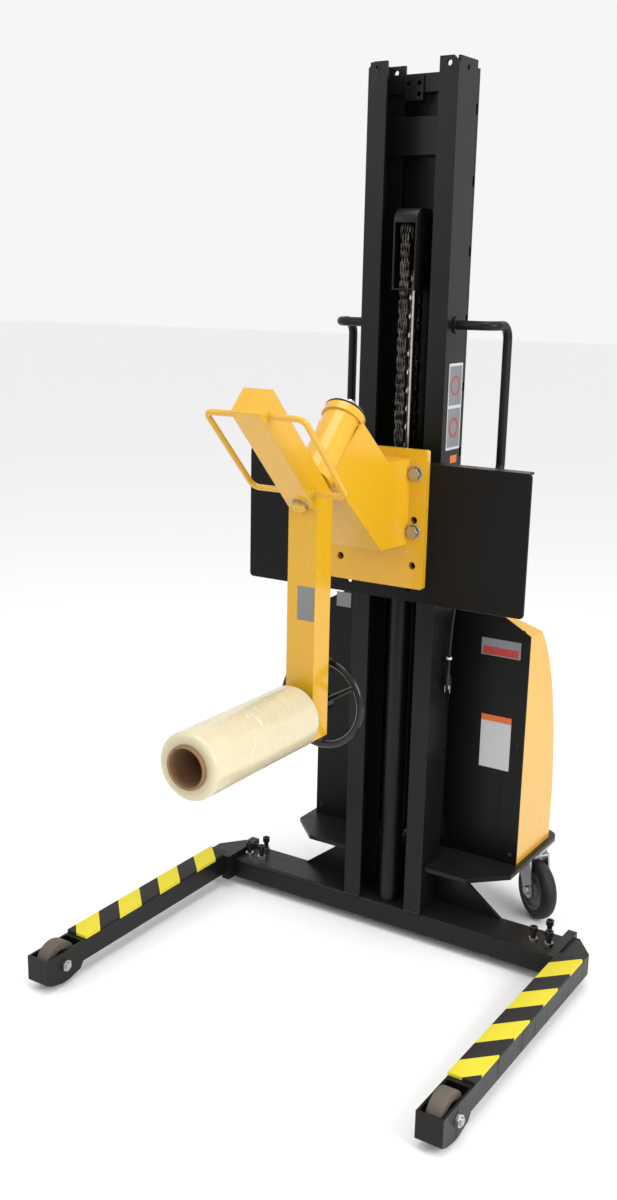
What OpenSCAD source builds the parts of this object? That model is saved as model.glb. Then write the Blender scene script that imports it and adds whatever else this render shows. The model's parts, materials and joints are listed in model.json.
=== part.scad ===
// Narrow-mast straddle stacker with a swing-arm stretch film unwinder.
// Millimetres, +Z up. In the modules, y = 0 is the front face of the mast and -Y is towards the load wheels.
// The film roll hangs in front on a mandrel whose arm swings about an axis at 45 degrees.

/* [Mast] */
// Height of the mast's top above the floor
mast_top = 1981; // [1800:1:2300]
// Width over the two mast uprights
mast_w = 210; // [190:1:260]
// Depth of an upright, front to back
mast_depth = 88; // [80:1:120]
// Width of an upright's flange
flange_w = 44; // [36:1:48]
// Thickness of an upright's flange
flange_t = 7; // [5:0.5:10]
// Thickness of an upright's web
web_t = 6; // [4:0.5:10]
// Thickness of the sheet closing the back of the mast
back_t = 3; // [2:0.5:4]
// Length of one tab along the back sheet's edge
tab_len = 122; // [80:1:160]
// Length of the notch between two tabs
notch_len = 21; // [10:1:30]

/* [Base] */
// Length of the cross beam
beam_len = 868; // [760:2:1000]
// Depth of the cross beam behind the mast
beam_behind = 19; // [16:1:40]
// Height of the cross beam's section
beam_h = 54; // [44:1:70]
// Height of the cross beam's underside above the floor
beam_z = 18; // [12:1:40]
// Wall of the beam, the stubs and the legs
tube_wall = 5; // [3:0.5:8]
// Length of the leg in front of the mast's face
leg_reach = 688; // [600:1:800]
// Width of a leg
leg_w = 57; // [50:1:70]
// Height of a leg's section
leg_h = 49; // [42:1:60]
// Height of a leg's underside above the floor
leg_z = 32; // [24:1:44]
// How far each leg draws out sideways
leg_travel = 180; // [100:5:220]
// Length of the stub that holds a leg in the beam
stub_len = 290; // [250:1:300]
// Diameter of a load wheel
load_wheel_d = 100; // [90:1:104]
// Diameter of a rear caster's wheel
caster_d = 150; // [120:1:154]
// Angle that the casters stand at
caster_yaw = 51; // [0:1:80]
// Distance of a caster wheel's axle behind its swivel axis
caster_trail = 40; // [25:1:50]

/* [Deck and cabinet] */
// Width of the deck plate
deck_w = 586; // [560:2:640]
// Distance of the deck's rear edge from the mast's face
deck_rear = 395; // [380:1:450]
// Height of the deck's top face above the floor
deck_z = 192; // [190:1:230]
// Thickness of the deck plate
deck_t = 10; // [6:1:14]
// Width of the cabinet
cab_w = 560; // [500:2:580]
// Height of the cabinet's top above the floor
cab_top = 795; // [740:1:820]
// Thickness of the cabinet's sheet
cab_t = 3; // [2:0.5:4]

/* [Lift] */
// Width of the carriage plate
plate_w = 694; // [600:2:760]
// Height of the carriage plate
plate_h = 306; // [280:1:330]
// Height of the carriage plate's lower edge above the floor
plate_z = 856; // [840:1:880]
// Thickness of the carriage plate
plate_t = 5; // [4:0.5:8]
// Diameter of the lift cylinder's barrel
barrel_d = 50; // [44:1:52]
// Diameter of the piston rod
rod_d = 20; // [16:1:24]
// Height of the sheave's axle above the floor
sheave_z = 1640; // [1600:1:1660]
// Pitch radius of the chain round the sheave
sheave_r = 28; // [26:0.5:30]
// Width of the lift chain
chain_w = 22; // [18:1:24]
// Height of the lift chain's plates
chain_h = 16; // [12:0.5:16]

/* [Swing arm and roll] */
// Width of the arm's tube
arm_w = 66; // [58:1:76]
// Depth of the arm's tube
arm_d = 60; // [50:1:60]
// Height of the arm's lower end above the floor
arm_z = 612; // [600:1:630]
// Height of the film roll's axis above the floor
roll_z = 669; // [665:1:690]
// Thickness of the film wound on the core
film_wall = 24; // [5:0.5:80]
// Width of the film
film_len = 360; // [300:1:380]
// Wall of the cardboard core
core_wall = 5; // [3:0.5:8]
// Inner diameter of the cardboard core
core_bore = 76; // [76:0.5:77]
// Diameter of the pivot stud
stud_d = 32; // [26:1:36]
// Outer diameter of the pivot tube
pivot_tube_d = 80; // [70:1:86]
// Outer diameter of the handwheel
handwheel_d = 204; // [160:1:210]
// Diameter of the rod of the two hand loops
loop_rod_d = 12; // [10:1:16]

/* [Fits] */
// Radial clearance of a running fit
fit = 0.05; // [0.02:0.01:0.1]
// Gap between pieces that slide or turn past each other
gap = 0.3; // [0.25:0.05:0.5]

/* [Hidden] */
$fn = 48;

black = [0.10, 0.10, 0.11];
yellow = [0.86, 0.64, 0.12];
zinc = [0.72, 0.73, 0.75];
rubber = [0.06, 0.06, 0.06];

// Base, worked out from the driving sizes
beam_top = beam_z + beam_h;
beam_d = mast_depth + beam_behind;
beam_half = beam_len / 2;
flange_plate_t = 19;
leg_in = beam_half + flange_plate_t + 2;
leg_out = leg_in + leg_w;
leg_top = leg_z + leg_h;
nose_len = 119;
nose_rear = -leg_reach + nose_len;
nose_low = 8;
load_y = -leg_reach + 58;
load_z = load_wheel_d / 2;
load_axle_r = 8;
leg_rear = beam_d - 11;
leg_chamfer = [44, 58];
screw_rows = [38, beam_d - 19];
screw_in = 18;
screw_pitch = 38;
screw_r = 6;

// Mast
back_y = mast_depth + gap;
back_depth = 12;
back_foot = deck_z + 48;
back_head = mast_top - 15;
mast_half = mast_w / 2;
web_in = mast_half - web_t;
flange_in = mast_half - flange_w;

// Deck and cabinet
deck_front = 11;
deck_under = deck_z - deck_t;
deck_corner = 40;
cab_front = 147;
cab_drop = 37;
cab_chamfer = 66;
cab_rear = deck_rear - 45;
brace_t = 8;

// Lift
lift_y = 31;
chain_inside = lift_y - sheave_r + chain_h / 2;
head_over = 1;
rod_y = chain_inside + barrel_d / 2 + head_over + 3;
chain_back = lift_y + sheave_r + chain_h / 2;
barrel_r = barrel_d / 2;
barrel_top = 1140;
head_r = barrel_r + head_over;
head_h = 25;
yoke_h = 30;
yoke_drop = 80;
yoke_base = sheave_z - yoke_drop;
cover_w = 55;
cover_up = 47;
cover_down = 121;
cheek_t = 4;
sheave_w = chain_w + 8;
pin_r = 8;
plate_front = -71.3;
plate_back = plate_front + plate_t;
side_t = 8;
side_x = min(48, flange_in - side_t - 5);
roller_r = (mast_depth - 2 * flange_t) / 2 - 0.5;
roller_y = mast_depth / 2;
roller_w = 28;
roller_x = flange_in - 1;
stub_r = 12;
roller_in = plate_z + 50;
roller_pitch = 208;
chain_anchor_z = plate_z + 294;

// Pivot, at 45 degrees: s runs along the stud's axis, from the arm's front face
arm_front = -392;
arm_rear = arm_front + arm_d;
bend_z = 1098;
slant_len = 288;
root2 = sqrt(2);
pivot_y = arm_front - 9.5;
pivot_z = bend_z + 9.5;
tube_s = arm_d + 3;
tube_end = 233;
collar_s = 215;
collar_d = pivot_tube_d + 10;
bracket_w = 232;
bracket_z = plate_z + 33;
bracket_h = 303;
bracket_t = 16;
bolt_x = 90;
bolt_af = 24;
bolt_rows = [1016, 1141.6];
spare_rows = [940, 1040];
cheek_low_s = tube_s + 8.5;
cheek_high_s = collar_s - 1.5;

// Arm
loop_half = 110;
core_d = core_bore + 2 * core_wall;
film_d = core_d + 2 * film_wall;
hub_r = 30;
shaft_r = 17;
drawbar_r = 8;
core_rear = arm_front - 8;
film_rear = core_rear - 13;
core_len = film_len + 19;
mandrel_len = 300;
mandrel_r = core_bore / 2 - 4;
wheel_y = -300;

// The row's origin is the middle of the whole machine at the floor
front_y = core_rear - core_len;
mid_y = (front_y + deck_rear) / 2;

// Route of the mains cord, from the gland on the hood to the hank, and from the hank to the plug
cord_d = 8;
cord_in = [
    [76, 190, 806], [76, 189, 822], [80, 182, 838], [90, 166, 848], [102, 148, 852],
    [113, 130, 856], [120, 113, 864], [124, 96, 878], [125, 84, 892], [125, 78, 901]];
cord_out = [
    [112, 63, 888], [113, 76, 882], [114, 85, 870], [115, 88, 854], [116, 86, 836], [117, 80, 812],
    [118, 73, 786], [119, 66, 756], [120, 61, 726], [120, 60, 700], [120, 60, 675]];
plug_top = cord_out[10];
hank_x = mast_half + 13;
hank_w = 70;
hank_z = [886, 1090];

// Places a module's shape in the row's frame
module row() {
    translate([0, -mid_y, 0]) children();
}

// A cylinder along X, from x0 to x1
module rod_x(r, x0, x1, y, z) {
    translate([x0, y, z]) rotate([0, 90, 0]) cylinder(r = r, h = x1 - x0);
}

// A cylinder along Y, from y0 to y1
module rod_y(r, y0, y1, x, z) {
    translate([x, y0, z]) rotate([-90, 0, 0]) cylinder(r = r, h = y1 - y0);
}

// A box between two corners
module span(low, high) {
    translate(low) cube(high - low);
}

// An outline in Y and Z, extruded along X between x0 and x1
module side_outline(points, x0, x1) {
    translate([x0, 0, 0]) rotate([90, 0, 90]) linear_extrude(x1 - x0) polygon(points);
}

// An outline in X and Z, extruded along Y between y0 and y1
module front_outline(points, y0, y1) {
    translate([0, y1, 0]) rotate([90, 0, 0]) linear_extrude(y1 - y0) polygon(points);
}

// A rectangle with round corners, centred
module round_rect(w, h, r) {
    square([w - 2 * r, h], center = true);
    square([w, h - 2 * r], center = true);
    for (x = [-1, 1], y = [-1, 1]) translate([x * (w / 2 - r), y * (h / 2 - r)]) circle(r = r);
}

// A hexagon prism: af is the size across its flats
module hex(af, h) {
    cylinder(r = af / sqrt(3), h = h, $fn = 6);
}

// Children are drawn with +Z along the pivot axis and the origin on the arm's slanted front face
module on_pivot() {
    translate([0, pivot_y, pivot_z]) rotate([-45, 0, 0]) children();
}

// The children and their mirror image
module both_sides() {
    children();
    mirror([1, 0, 0]) children();
}

/* Base */

module beam_section(inset) {
    rotate([90, 0, 90]) translate([beam_d / 2, beam_z + beam_h / 2, 0])
        linear_extrude(beam_len + 2 * inset, center = true)
            round_rect(beam_d - 2 * inset, beam_h - 2 * inset, 8 - min(inset, 4));
}

module screw_places() {
    for (side = [-1, 1]) {
        x = beam_half - screw_in;
        for (n = [0, 1]) translate([side * (x - n * screw_pitch), screw_rows[0], beam_top]) children();
        translate([side * (x - screw_pitch / 2), screw_rows[1], beam_top]) children();
    }
}

module base_beam() {
    color(black) row() difference() {
        beam_section(0);
        beam_section(tube_wall);
        screw_places() translate([0, 0, -tube_wall - 1]) cylinder(r = screw_r + 0.2, h = tube_wall + 2);
    }
}

module clamp_screws() {
    color(black) row() screw_places() {
        translate([0, 0, -tube_wall + gap]) cylinder(r = screw_r, h = 32);
        translate([0, 0, 26]) difference() {
            cylinder(r = 9, h = 12);
            translate([0, 0, 6]) hex(10, 7);
        }
    }
}

module clamp_nuts() {
    color(zinc) row() screw_places() difference() {
        hex(19, 10);
        translate([0, 0, -1]) cylinder(r = screw_r + fit, h = 12);
    }
}

// Plan of a right-hand leg's outside, or of its hollow when inset
module leg_plan(inset) {
    polygon([
        [leg_in + inset, nose_rear + inset],
        [leg_out - inset, nose_rear + inset],
        [leg_out - inset, leg_rear - leg_chamfer[1] - inset / 2],
        [leg_out - leg_chamfer[0] - inset / 2, leg_rear - inset],
        [leg_in + inset, leg_rear - inset]]);
}

module right_leg() {
    wall = tube_wall;
    stub_in = beam_half - stub_len;
    nose_side = [
        [-leg_reach, leg_top], [-leg_reach, nose_low + 15], [load_y - 42, nose_low + 7],
        [load_y - 10, nose_low], [load_y + 10, nose_low], [load_y + 50, nose_low + 9],
        [nose_rear, leg_z], [nose_rear + 1, leg_z], [nose_rear + 1, leg_top]];
    difference() {
        union() {
            translate([0, 0, leg_z]) linear_extrude(leg_h) leg_plan(0);
            side_outline(nose_side, leg_in, leg_out);
            span([beam_half + gap, -30, leg_z - 8], [leg_in + 1, leg_rear + 14, leg_top + 7]);
            translate([stub_in, beam_d / 2, beam_z + beam_h / 2]) rotate([90, 0, 90])
                linear_extrude(stub_len + flange_plate_t)
                    round_rect(beam_d - 2 * wall - 2 * gap, beam_h - 2 * wall - 2 * gap, 4);
        }
        translate([0, 0, leg_z + wall]) linear_extrude(leg_h - 2 * wall) leg_plan(wall);
        span([leg_in + wall, -leg_reach + wall, 0],
            [leg_out - wall, nose_rear, leg_top + 1]);
        translate([stub_in - 1, beam_d / 2, beam_z + beam_h / 2]) rotate([90, 0, 90])
            linear_extrude(stub_len + 1) round_rect(beam_d - 4 * wall, beam_h - 4 * wall, 4);
        rod_x(load_axle_r + 0.25, leg_in - 1, leg_out + 1, load_y, load_z);
    }
}

module leg_right() {
    color(black) row() right_leg();
}

module leg_left() {
    color(black) row() mirror([1, 0, 0]) right_leg();
}

// Axle bolt with its head and nut; the nut is on the +X side of either leg
module load_axle(x_low, x_high) {
    rod_x(load_axle_r, x_low - gap, x_high + 12, load_y, load_z);
    translate([x_low - 8 - gap, load_y, load_z]) rotate([0, 90, 0]) hex(24, 8);
    translate([x_high + gap, load_y, load_z]) rotate([0, 90, 0]) hex(24, 8);
}

module load_axle_right() {
    color(zinc) row() load_axle(leg_in, leg_out);
}

module load_axle_left() {
    color(zinc) row() load_axle(-leg_out, -leg_in);
}

module load_wheel(x) {
    inner = leg_w - 2 * tube_wall;
    width = 34;
    difference() {
        union() {
            rod_x(load_wheel_d / 2, x - width / 2, x + width / 2, load_y, load_z);
            rod_x(17, x - inner / 2 + gap, x + inner / 2 - gap, load_y, load_z);
        }
        for (side = [-1, 1]) difference() {
            rod_x(32, x + side * width / 2 - 5, x + side * width / 2 + 5, load_y, load_z);
            rod_x(17, x - inner, x + inner, load_y, load_z);
        }
        rod_x(load_axle_r + fit, x - inner, x + inner, load_y, load_z);
    }
}

module load_wheel_right() {
    color("tan") row() load_wheel((leg_in + leg_out) / 2);
}

module load_wheel_left() {
    color("tan") row() load_wheel(-(leg_in + leg_out) / 2);
}

/* Casters */

caster_x = deck_w / 2 - 41;
caster_y = deck_rear - 79;
caster_r = caster_d / 2;
fork_gap = 46;
fork_t = 5;
caster_axle_r = 6;
fork_top = deck_under - 16;
kingpin_r = 10;

// Children are drawn round a swivel axis, with the wheel trailing along +X
module at_caster(side) {
    translate([side * caster_x, caster_y, 0]) rotate([0, 0, caster_yaw - 90]) children();
}

module caster_plates() {
    pin_foot = fork_top - fork_t - 5;
    color(zinc) row() for (side = [-1, 1]) translate([side * caster_x, caster_y, 0]) {
        difference() {
            translate([-41, -50, deck_under - 6]) cube([82, 100, 6]);
            for (x = [-31, 31], y = [-38, 38]) translate([x, y, deck_under - 7]) cylinder(r = 4.5, h = 8);
        }
        translate([0, 0, deck_under - 14]) cylinder(r = 26, h = 9);
        translate([0, 0, pin_foot]) cylinder(r = kingpin_r, h = deck_under - 6 - pin_foot);
    }
}

module caster_fork(side) {
    leg_x = fork_gap / 2 + fork_t;
    difference() {
        union() {
            translate([0, 0, fork_top - fork_t]) cylinder(r = 38, h = fork_t);
            translate([-38, -leg_x, fork_top - fork_t]) cube([38 + caster_trail, 2 * leg_x, fork_t]);
            for (s = [-1, 1]) translate([0, s * (leg_x - fork_t / 2), 0]) rotate([90, 0, 0])
                linear_extrude(fork_t, center = true) difference() {
                    union() {
                        polygon([[-36, fork_top], [caster_trail, fork_top], [caster_trail + 20, caster_r],
                            [caster_trail - 20, caster_r - 6]]);
                        translate([caster_trail, caster_r]) circle(r = 20);
                    }
                    translate([caster_trail, caster_r]) circle(r = caster_axle_r + 0.2);
                }
        }
        translate([0, 0, fork_top - fork_t - 1]) cylinder(r = kingpin_r + fit, h = fork_t + 2);
    }
    translate([caster_trail, 0, caster_r]) {
        rotate([90, 0, 0]) cylinder(r = caster_axle_r, h = fork_gap + 2 * fork_t + 12, center = true);
        for (s = [-1, 1]) translate([0, s * (leg_x + gap), 0]) rotate([-90 * s, 0, 0]) hex(19, 7);
    }
}

module caster_fork_right() {
    color(zinc) row() at_caster(1) caster_fork(1);
}

module caster_fork_left() {
    color(zinc) row() at_caster(-1) caster_fork(-1);
}

module caster_wheel() {
    hub = fork_gap / 2 - gap;
    tread = 19;
    translate([caster_trail, 0, caster_r]) rotate([90, 0, 0]) difference() {
        rotate_extrude($fn = 72) difference() {
            union() {
                translate([0, -hub]) square([20, 2 * hub]);
                translate([0, -tread + 6]) square([caster_r - 9, 2 * tread - 12]);
                translate([caster_r - 24, -tread]) square([15, 2 * tread]);
                translate([caster_r - 9, -tread + 9]) square([9, 2 * tread - 18]);
                for (s = [-1, 1]) translate([caster_r - 9, s * (tread - 9)]) circle(r = 9);
            }
            translate([-60, -60]) square([60, 120]);
        }
        cylinder(r = caster_axle_r + fit, h = 3 * fork_gap, center = true);
    }
}

module caster_wheel_right() {
    color(rubber) row() at_caster(1) caster_wheel();
}

module caster_wheel_left() {
    color(rubber) row() at_caster(-1) caster_wheel();
}

/* Mast */

module right_upright() {
    difference() {
        union() {
            span([web_in, 0, beam_top], [mast_half, mast_depth, mast_top]);
            for (y = [0, mast_depth - flange_t])
                span([flange_in, y, beam_top], [mast_half, y + flange_t, mast_top]);
        }
        rod_y(6, -1, flange_t + 1, mast_half - flange_w / 2, mast_top - 14);
        rod_y(6, mast_depth - flange_t - 1, mast_depth + 1, mast_half - flange_w / 2, mast_top - 14);
        rod_x(6, web_in - 1, mast_half + 1, mast_depth / 2, mast_top - 20);
        translate([mast_half, flange_t / 2, mast_top]) rotate([0, 45, 0])
            cube([18, flange_t + 1, 18], center = true);
    }
}

module mast_right() {
    color(black) row() right_upright();
}

module mast_left() {
    color(black) row() mirror([1, 0, 0]) right_upright();
}

module mast_back_panel() {
    pitch = tab_len + notch_len;
    rear = back_y + back_depth;
    sheet_y = rear - back_t;
    color(black) row() difference() {
        union() {
            span([-mast_half, sheet_y, back_foot], [mast_half, rear, back_head]);
            both_sides() span([mast_half - back_t, back_y, back_foot], [mast_half, rear, back_head]);
        }
        for (z = [back_head - tab_len + 53 : -pitch : back_foot + tab_len])
            span([-mast_half - 1, back_y - 1, z - notch_len], [mast_half + 1, sheet_y, z]);
    }
}

tie_y = mast_depth - flange_t - 6;
tie_half = web_in - gap;

module mast_top_tie() {
    bracket_x = [-57, -11];
    color(black) row() difference() {
        union() {
            span([-tie_half, tie_y, mast_top - 56], [tie_half, tie_y + 6, mast_top - 19]);
            span([-tie_half, tie_y, mast_top - 182], [tie_half, tie_y + 6, mast_top - 104]);
            span([bracket_x[0], tie_y - 5, mast_top - 72], [bracket_x[1], tie_y + 1, mast_top - 21]);
        }
        for (p = [[-47, -38], [-21, -38], [-21, -60]]) rod_y(5, tie_y - 6, tie_y + 7, p[0], mast_top + p[1]);
    }
}

/* Deck and cabinet */

module deck_plate() {
    half = deck_w / 2;
    front_half = half - 78;
    color(black) row() translate([0, 0, deck_under]) linear_extrude(deck_t) difference() {
        union() {
            polygon([
                [-front_half, deck_front], [front_half, deck_front],
                [half, deck_front + 77], [half, deck_rear - deck_corner],
                [half - deck_corner, deck_rear], [-half + deck_corner, deck_rear],
                [-half, deck_rear - deck_corner], [-half, deck_front + 77]]);
            for (side = [-1, 1])
                translate([side * (half - deck_corner), deck_rear - deck_corner]) circle(r = deck_corner);
        }
        translate([-mast_half - gap, 0]) square([mast_w + 2 * gap, mast_depth + gap]);
    }
}

module deck_brace() {
    foot_half = 274;
    head_half = 130;
    color(black) row() front_outline(
        [[-foot_half, beam_top], [foot_half, beam_top], [head_half, deck_under], [-head_half, deck_under]],
        mast_depth + 4, mast_depth + 4 + brace_t);
}

// The cabinet's outline from the front: a rectangle with its top corners cut off
function cab_face(inset) = let (half = cab_w / 2 - inset) [
    [-half, deck_z], [half, deck_z], [half, cab_top - cab_drop - inset / 2],
    [half - cab_chamfer, cab_top - inset], [-half + cab_chamfer, cab_top - inset],
    [-half, cab_top - cab_drop - inset / 2]];

// The hood's back, from its top edge to where it drops straight, as a smooth curve
function bend_point(a, c, b, t) = (1 - t) * (1 - t) * a + 2 * t * (1 - t) * c + t * t * b;
function hood_side(inset) = concat(
    [[cab_front + cab_t, deck_z - 1], [cab_front + cab_t, cab_top - inset]],
    [for (n = [0 : 14]) bend_point([cab_front + 23, cab_top - 2 - inset],
        [cab_rear - 28 - inset, cab_top - 95 - inset], [cab_rear - inset, cab_top - 465], n / 14)],
    [[cab_rear - inset, deck_z - 1]]);

module front_panel() {
    color(black) row() difference() {
        front_outline(cab_face(0), cab_front, cab_front + cab_t);
        rod_y(9, cab_front - 1, cab_front + cab_t + 1, 0, deck_z + 28);
    }
}

module cabinet_hood() {
    rear = cab_rear + 1;
    color(yellow) row() difference() {
        intersection() {
            side_outline(hood_side(0), -cab_w / 2, cab_w / 2);
            front_outline(cab_face(0), cab_front + cab_t, rear);
        }
        intersection() {
            side_outline(hood_side(cab_t), -cab_w / 2, cab_w / 2);
            front_outline(cab_face(cab_t), cab_front + cab_t - 1, rear);
        }
        span([-cab_w, cab_front - 1, deck_z - 2], [cab_w, rear, deck_z]);
        translate([cord_in[0][0], cord_in[0][1], cab_top - 40]) cylinder(r = 8, h = 60);
    }
}

module battery() {
    color(black) row() {
        span([-250, cab_front + 20, deck_z], [-70, cab_front + 185, deck_z + 190]);
        for (x = [-225, -95]) translate([x, cab_front + 60, deck_z + 190]) cylinder(r = 8, h = 16);
    }
}

module pump_unit() {
    tank_z = deck_z + 60;
    color(zinc) row() {
        span([-40, cab_front + 70, deck_z], [60, cab_front + 150, deck_z + 56]);
        translate([10, cab_front + 110, deck_z + 56]) cylinder(r = 42, h = 130);
        span([80, cab_front + 40, deck_z], [250, cab_front + 180, tank_z + 90]);
        rod_y(6, rod_y + barrel_r + gap, cab_front + 70, 0, deck_z + 28);
    }
}

module charger() {
    color(zinc) row() {
        span([90, cab_front + cab_t + gap, deck_z + 340], [230, cab_front + 62, deck_z + 470]);
        for (x = [110, 210])
            span([x - 8, cab_front + cab_t + gap, deck_z + 150], [x + 8, cab_front + 30, deck_z + 340]);
    }
}

/* Lift */

module lift_cylinder() {
    floor_t = 18;
    color(black) row() translate([0, rod_y, beam_top]) difference() {
        cylinder(r = barrel_r, h = barrel_top - beam_top);
        translate([0, 0, floor_t]) cylinder(r = barrel_r - 5, h = barrel_top);
    }
}

module cylinder_head() {
    color(zinc) row() difference() {
        union() {
            translate([0, rod_y, barrel_top]) cylinder(r = head_r, h = head_h);
            span([-chain_w / 2, rod_y + 12, barrel_top], [chain_w / 2, chain_back, barrel_top + head_h + 15]);
        }
        translate([0, rod_y, barrel_top - 1]) cylinder(r = rod_d / 2 + fit, h = head_h + 20);
    }
}

module piston_rod() {
    low = barrel_top - 380;
    color(zinc) row() translate([0, rod_y, low]) {
        cylinder(r = rod_d / 2, h = yoke_base - low);
        cylinder(r = barrel_r - 5 - fit, h = 30);
    }
}

module sheave_yoke() {
    cheek_x = sheave_w / 2 + 1;
    outer = cheek_x + cheek_t;
    yoke_rear = lift_y + sheave_r - chain_h / 2 - gap;
    color(black) row() {
        difference() {
            union() {
                span([-outer, lift_y - 12, yoke_base], [outer, yoke_rear, yoke_base + yoke_h]);
                both_sides() span([cheek_x, lift_y - 14, yoke_base], [outer, lift_y + 14, sheave_z + 16]);
            }
            rod_x(pin_r, -outer - 1, outer + 1, lift_y, sheave_z);
        }
        rod_x(pin_r, -cover_w / 2 - 2, cover_w / 2 + 2, lift_y, sheave_z);
    }
}

module chain_sheave() {
    color(zinc) row() difference() {
        union() {
            rod_x(sheave_r - chain_h / 2 - gap, -sheave_w / 2, sheave_w / 2, lift_y, sheave_z);
            both_sides() rod_x(sheave_r + 4, sheave_w / 2 - 3.2, sheave_w / 2, lift_y, sheave_z);
        }
        rod_x(pin_r + fit, -sheave_w, sheave_w, lift_y, sheave_z);
    }
}

module chain_wrap() {
    half = chain_w / 2 - gap;
    color(zinc) row() difference() {
        rod_x(sheave_r + chain_h / 2, -half, half, lift_y, sheave_z);
        rod_x(sheave_r - chain_h / 2, -half - 1, half + 1, lift_y, sheave_z);
        translate([0, lift_y, sheave_z - 2 * sheave_r]) cube(4 * sheave_r, center = true);
    }
}

module sheave_cover() {
    depth = [-8, 64];
    sheet = 3;
    half = cover_w / 2;
    top = sheave_z + cover_up;
    low = sheave_z - cover_down;
    color(black) row() difference() {
        span([-half, depth[0], low], [half, depth[1], top]);
        span([sheet - half, depth[0] - 1, low - 1], [half - sheet, depth[1] + 1, top - sheet]);
        rod_x(pin_r + fit, -half - 1, half + 1, lift_y, sheave_z);
    }
}

module chain_front() {
    y = lift_y - sheave_r;
    half = chain_w / 2 - gap;
    color(zinc) row() span([-half, y - chain_h / 2, chain_anchor_z], [half, y + chain_h / 2, sheave_z]);
}

module chain_rear() {
    y = lift_y + sheave_r;
    half = chain_w / 2 - gap;
    foot = barrel_top + head_h + 15;
    color(zinc) row() span([-half, y - chain_h / 2, foot], [half, y + chain_h / 2, sheave_z]);
}

/* Carriage */

module carriage_plate() {
    half = plate_w / 2;
    top = plate_z + plate_h;
    lip = 33;
    color(black) row() difference() {
        union() {
            translate([0, plate_back, plate_z + plate_h / 2]) rotate([90, 0, 0])
                linear_extrude(plate_t) round_rect(plate_w, plate_h, 9);
            span([-half + 9, plate_front, top - plate_t], [half - 9, plate_front + lip, top]);
            span([-half + 9, plate_front, plate_z], [half - 9, plate_front + lip / 2, plate_z + plate_t]);
        }
        for (x = [-bolt_x, bolt_x], z = bolt_rows) rod_y(8.25, plate_front - 1, plate_back + 1, x, z);
        for (x = [-74, 74]) rod_y(6, plate_front - 1, plate_back + 1, x, bracket_z - 5);
    }
}

module carriage_frame() {
    anchor_y = [lift_y - sheave_r - chain_h / 2, lift_y - sheave_r + chain_h / 2];
    anchor_z = chain_anchor_z - 15;
    side_rear = mast_depth - 10;
    color(black) row() {
        difference() {
            union() {
                both_sides() {
                    span([side_x, plate_back, plate_z + 24],
                        [side_x + side_t, side_rear, plate_z + plate_h - 18]);
                    for (z = [roller_in, roller_in + roller_pitch])
                        rod_x(stub_r, side_x + 1, roller_x + roller_w + 4, roller_y, z);
                }
                span([-side_x - 1, plate_back, anchor_z - 25], [side_x + 1, anchor_y[1] - 1, anchor_z]);
                span([-side_x - 1, plate_back, plate_z + 29], [side_x + 1, plate_back + 50, plate_z + 59]);
                span([-chain_w / 2, anchor_y[0], anchor_z], [chain_w / 2, anchor_y[1], chain_anchor_z]);
            }
            for (z = [roller_in, roller_in + roller_pitch]) rod_x(5, -mast_half, mast_half, roller_y, z);
        }
    }
}

module rollers(z) {
    end = roller_x + roller_w;
    color("dimgray") row() both_sides() difference() {
        rod_x(roller_r, roller_x, end, roller_y, z);
        rod_x(stub_r + fit, roller_x - 1, end + 1, roller_y, z);
    }
}

module lower_rollers() {
    rollers(roller_in);
}

module upper_rollers() {
    rollers(roller_in + roller_pitch);
}

// Distance s along the pivot axis gives the plane y + z = plane_sum(s)
function plane_sum(s) = pivot_y + pivot_z + s * root2;

// The side outline of the pivot bracket's cheeks, from the pivot axis back to the mounting plate
module bracket_outline(shrink) {
    front = plate_front - bracket_t + 1;
    low = plane_sum(cheek_low_s + shrink);
    high = plane_sum(cheek_high_s - shrink);
    top_z = bracket_z + 283 - shrink;
    low_z = bracket_z + 96 + shrink;
    side_outline([
        [front, low_z], [low - low_z, low_z],
        [pivot_y + (cheek_low_s + shrink) / root2, pivot_z + (cheek_low_s + shrink) / root2],
        [pivot_y + (cheek_high_s - shrink) / root2, pivot_z + (cheek_high_s - shrink) / root2],
        [high - top_z, top_z], [front, top_z]], -150, 150);
}

// The bracket's plan: it widens from the pivot tube to the mounting plate
module bracket_plan(inset) {
    front = plate_front - bracket_t + 2;
    nose = pivot_y + cheek_low_s / root2 - 20;
    nose_half = pivot_tube_d / 2 - 4;
    root_half = bolt_x - bolt_af / sqrt(3) - gap;
    translate([0, 0, plate_z]) linear_extrude(plate_h + 200)
        polygon([
            [inset - root_half, front], [root_half - inset, front],
            [nose_half - inset, nose], [inset - nose_half, nose]]);
}

module pivot_bracket() {
    tube_r = pivot_tube_d / 2;
    front = plate_front - bracket_t;
    wall = 8;
    color(yellow) row() difference() {
        union() {
            translate([0, plate_front, bracket_z + bracket_h / 2]) rotate([90, 0, 0])
                linear_extrude(bracket_t) round_rect(bracket_w, bracket_h, 6);
            difference() {
                intersection() {
                    bracket_outline(0);
                    bracket_plan(0);
                }
                intersection() {
                    bracket_outline(wall);
                    bracket_plan(wall);
                }
            }
            on_pivot() translate([0, 0, tube_s]) cylinder(r = tube_r, h = tube_end - tube_s);
            on_pivot() translate([0, 0, collar_s]) cylinder(r = collar_d / 2, h = tube_end - collar_s);
        }
        on_pivot() translate([0, 0, tube_s - 1]) cylinder(r = stud_d / 2 + fit, h = tube_end);
        on_pivot() translate([0, 0, tube_s + 34]) cylinder(r = tube_r - 8, h = tube_end - tube_s - 68);
        for (x = [-bolt_x, bolt_x], z = concat(bolt_rows, spare_rows))
            rod_y(8.25, front - 1, plate_front + 1, x, z);
    }
}

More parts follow.
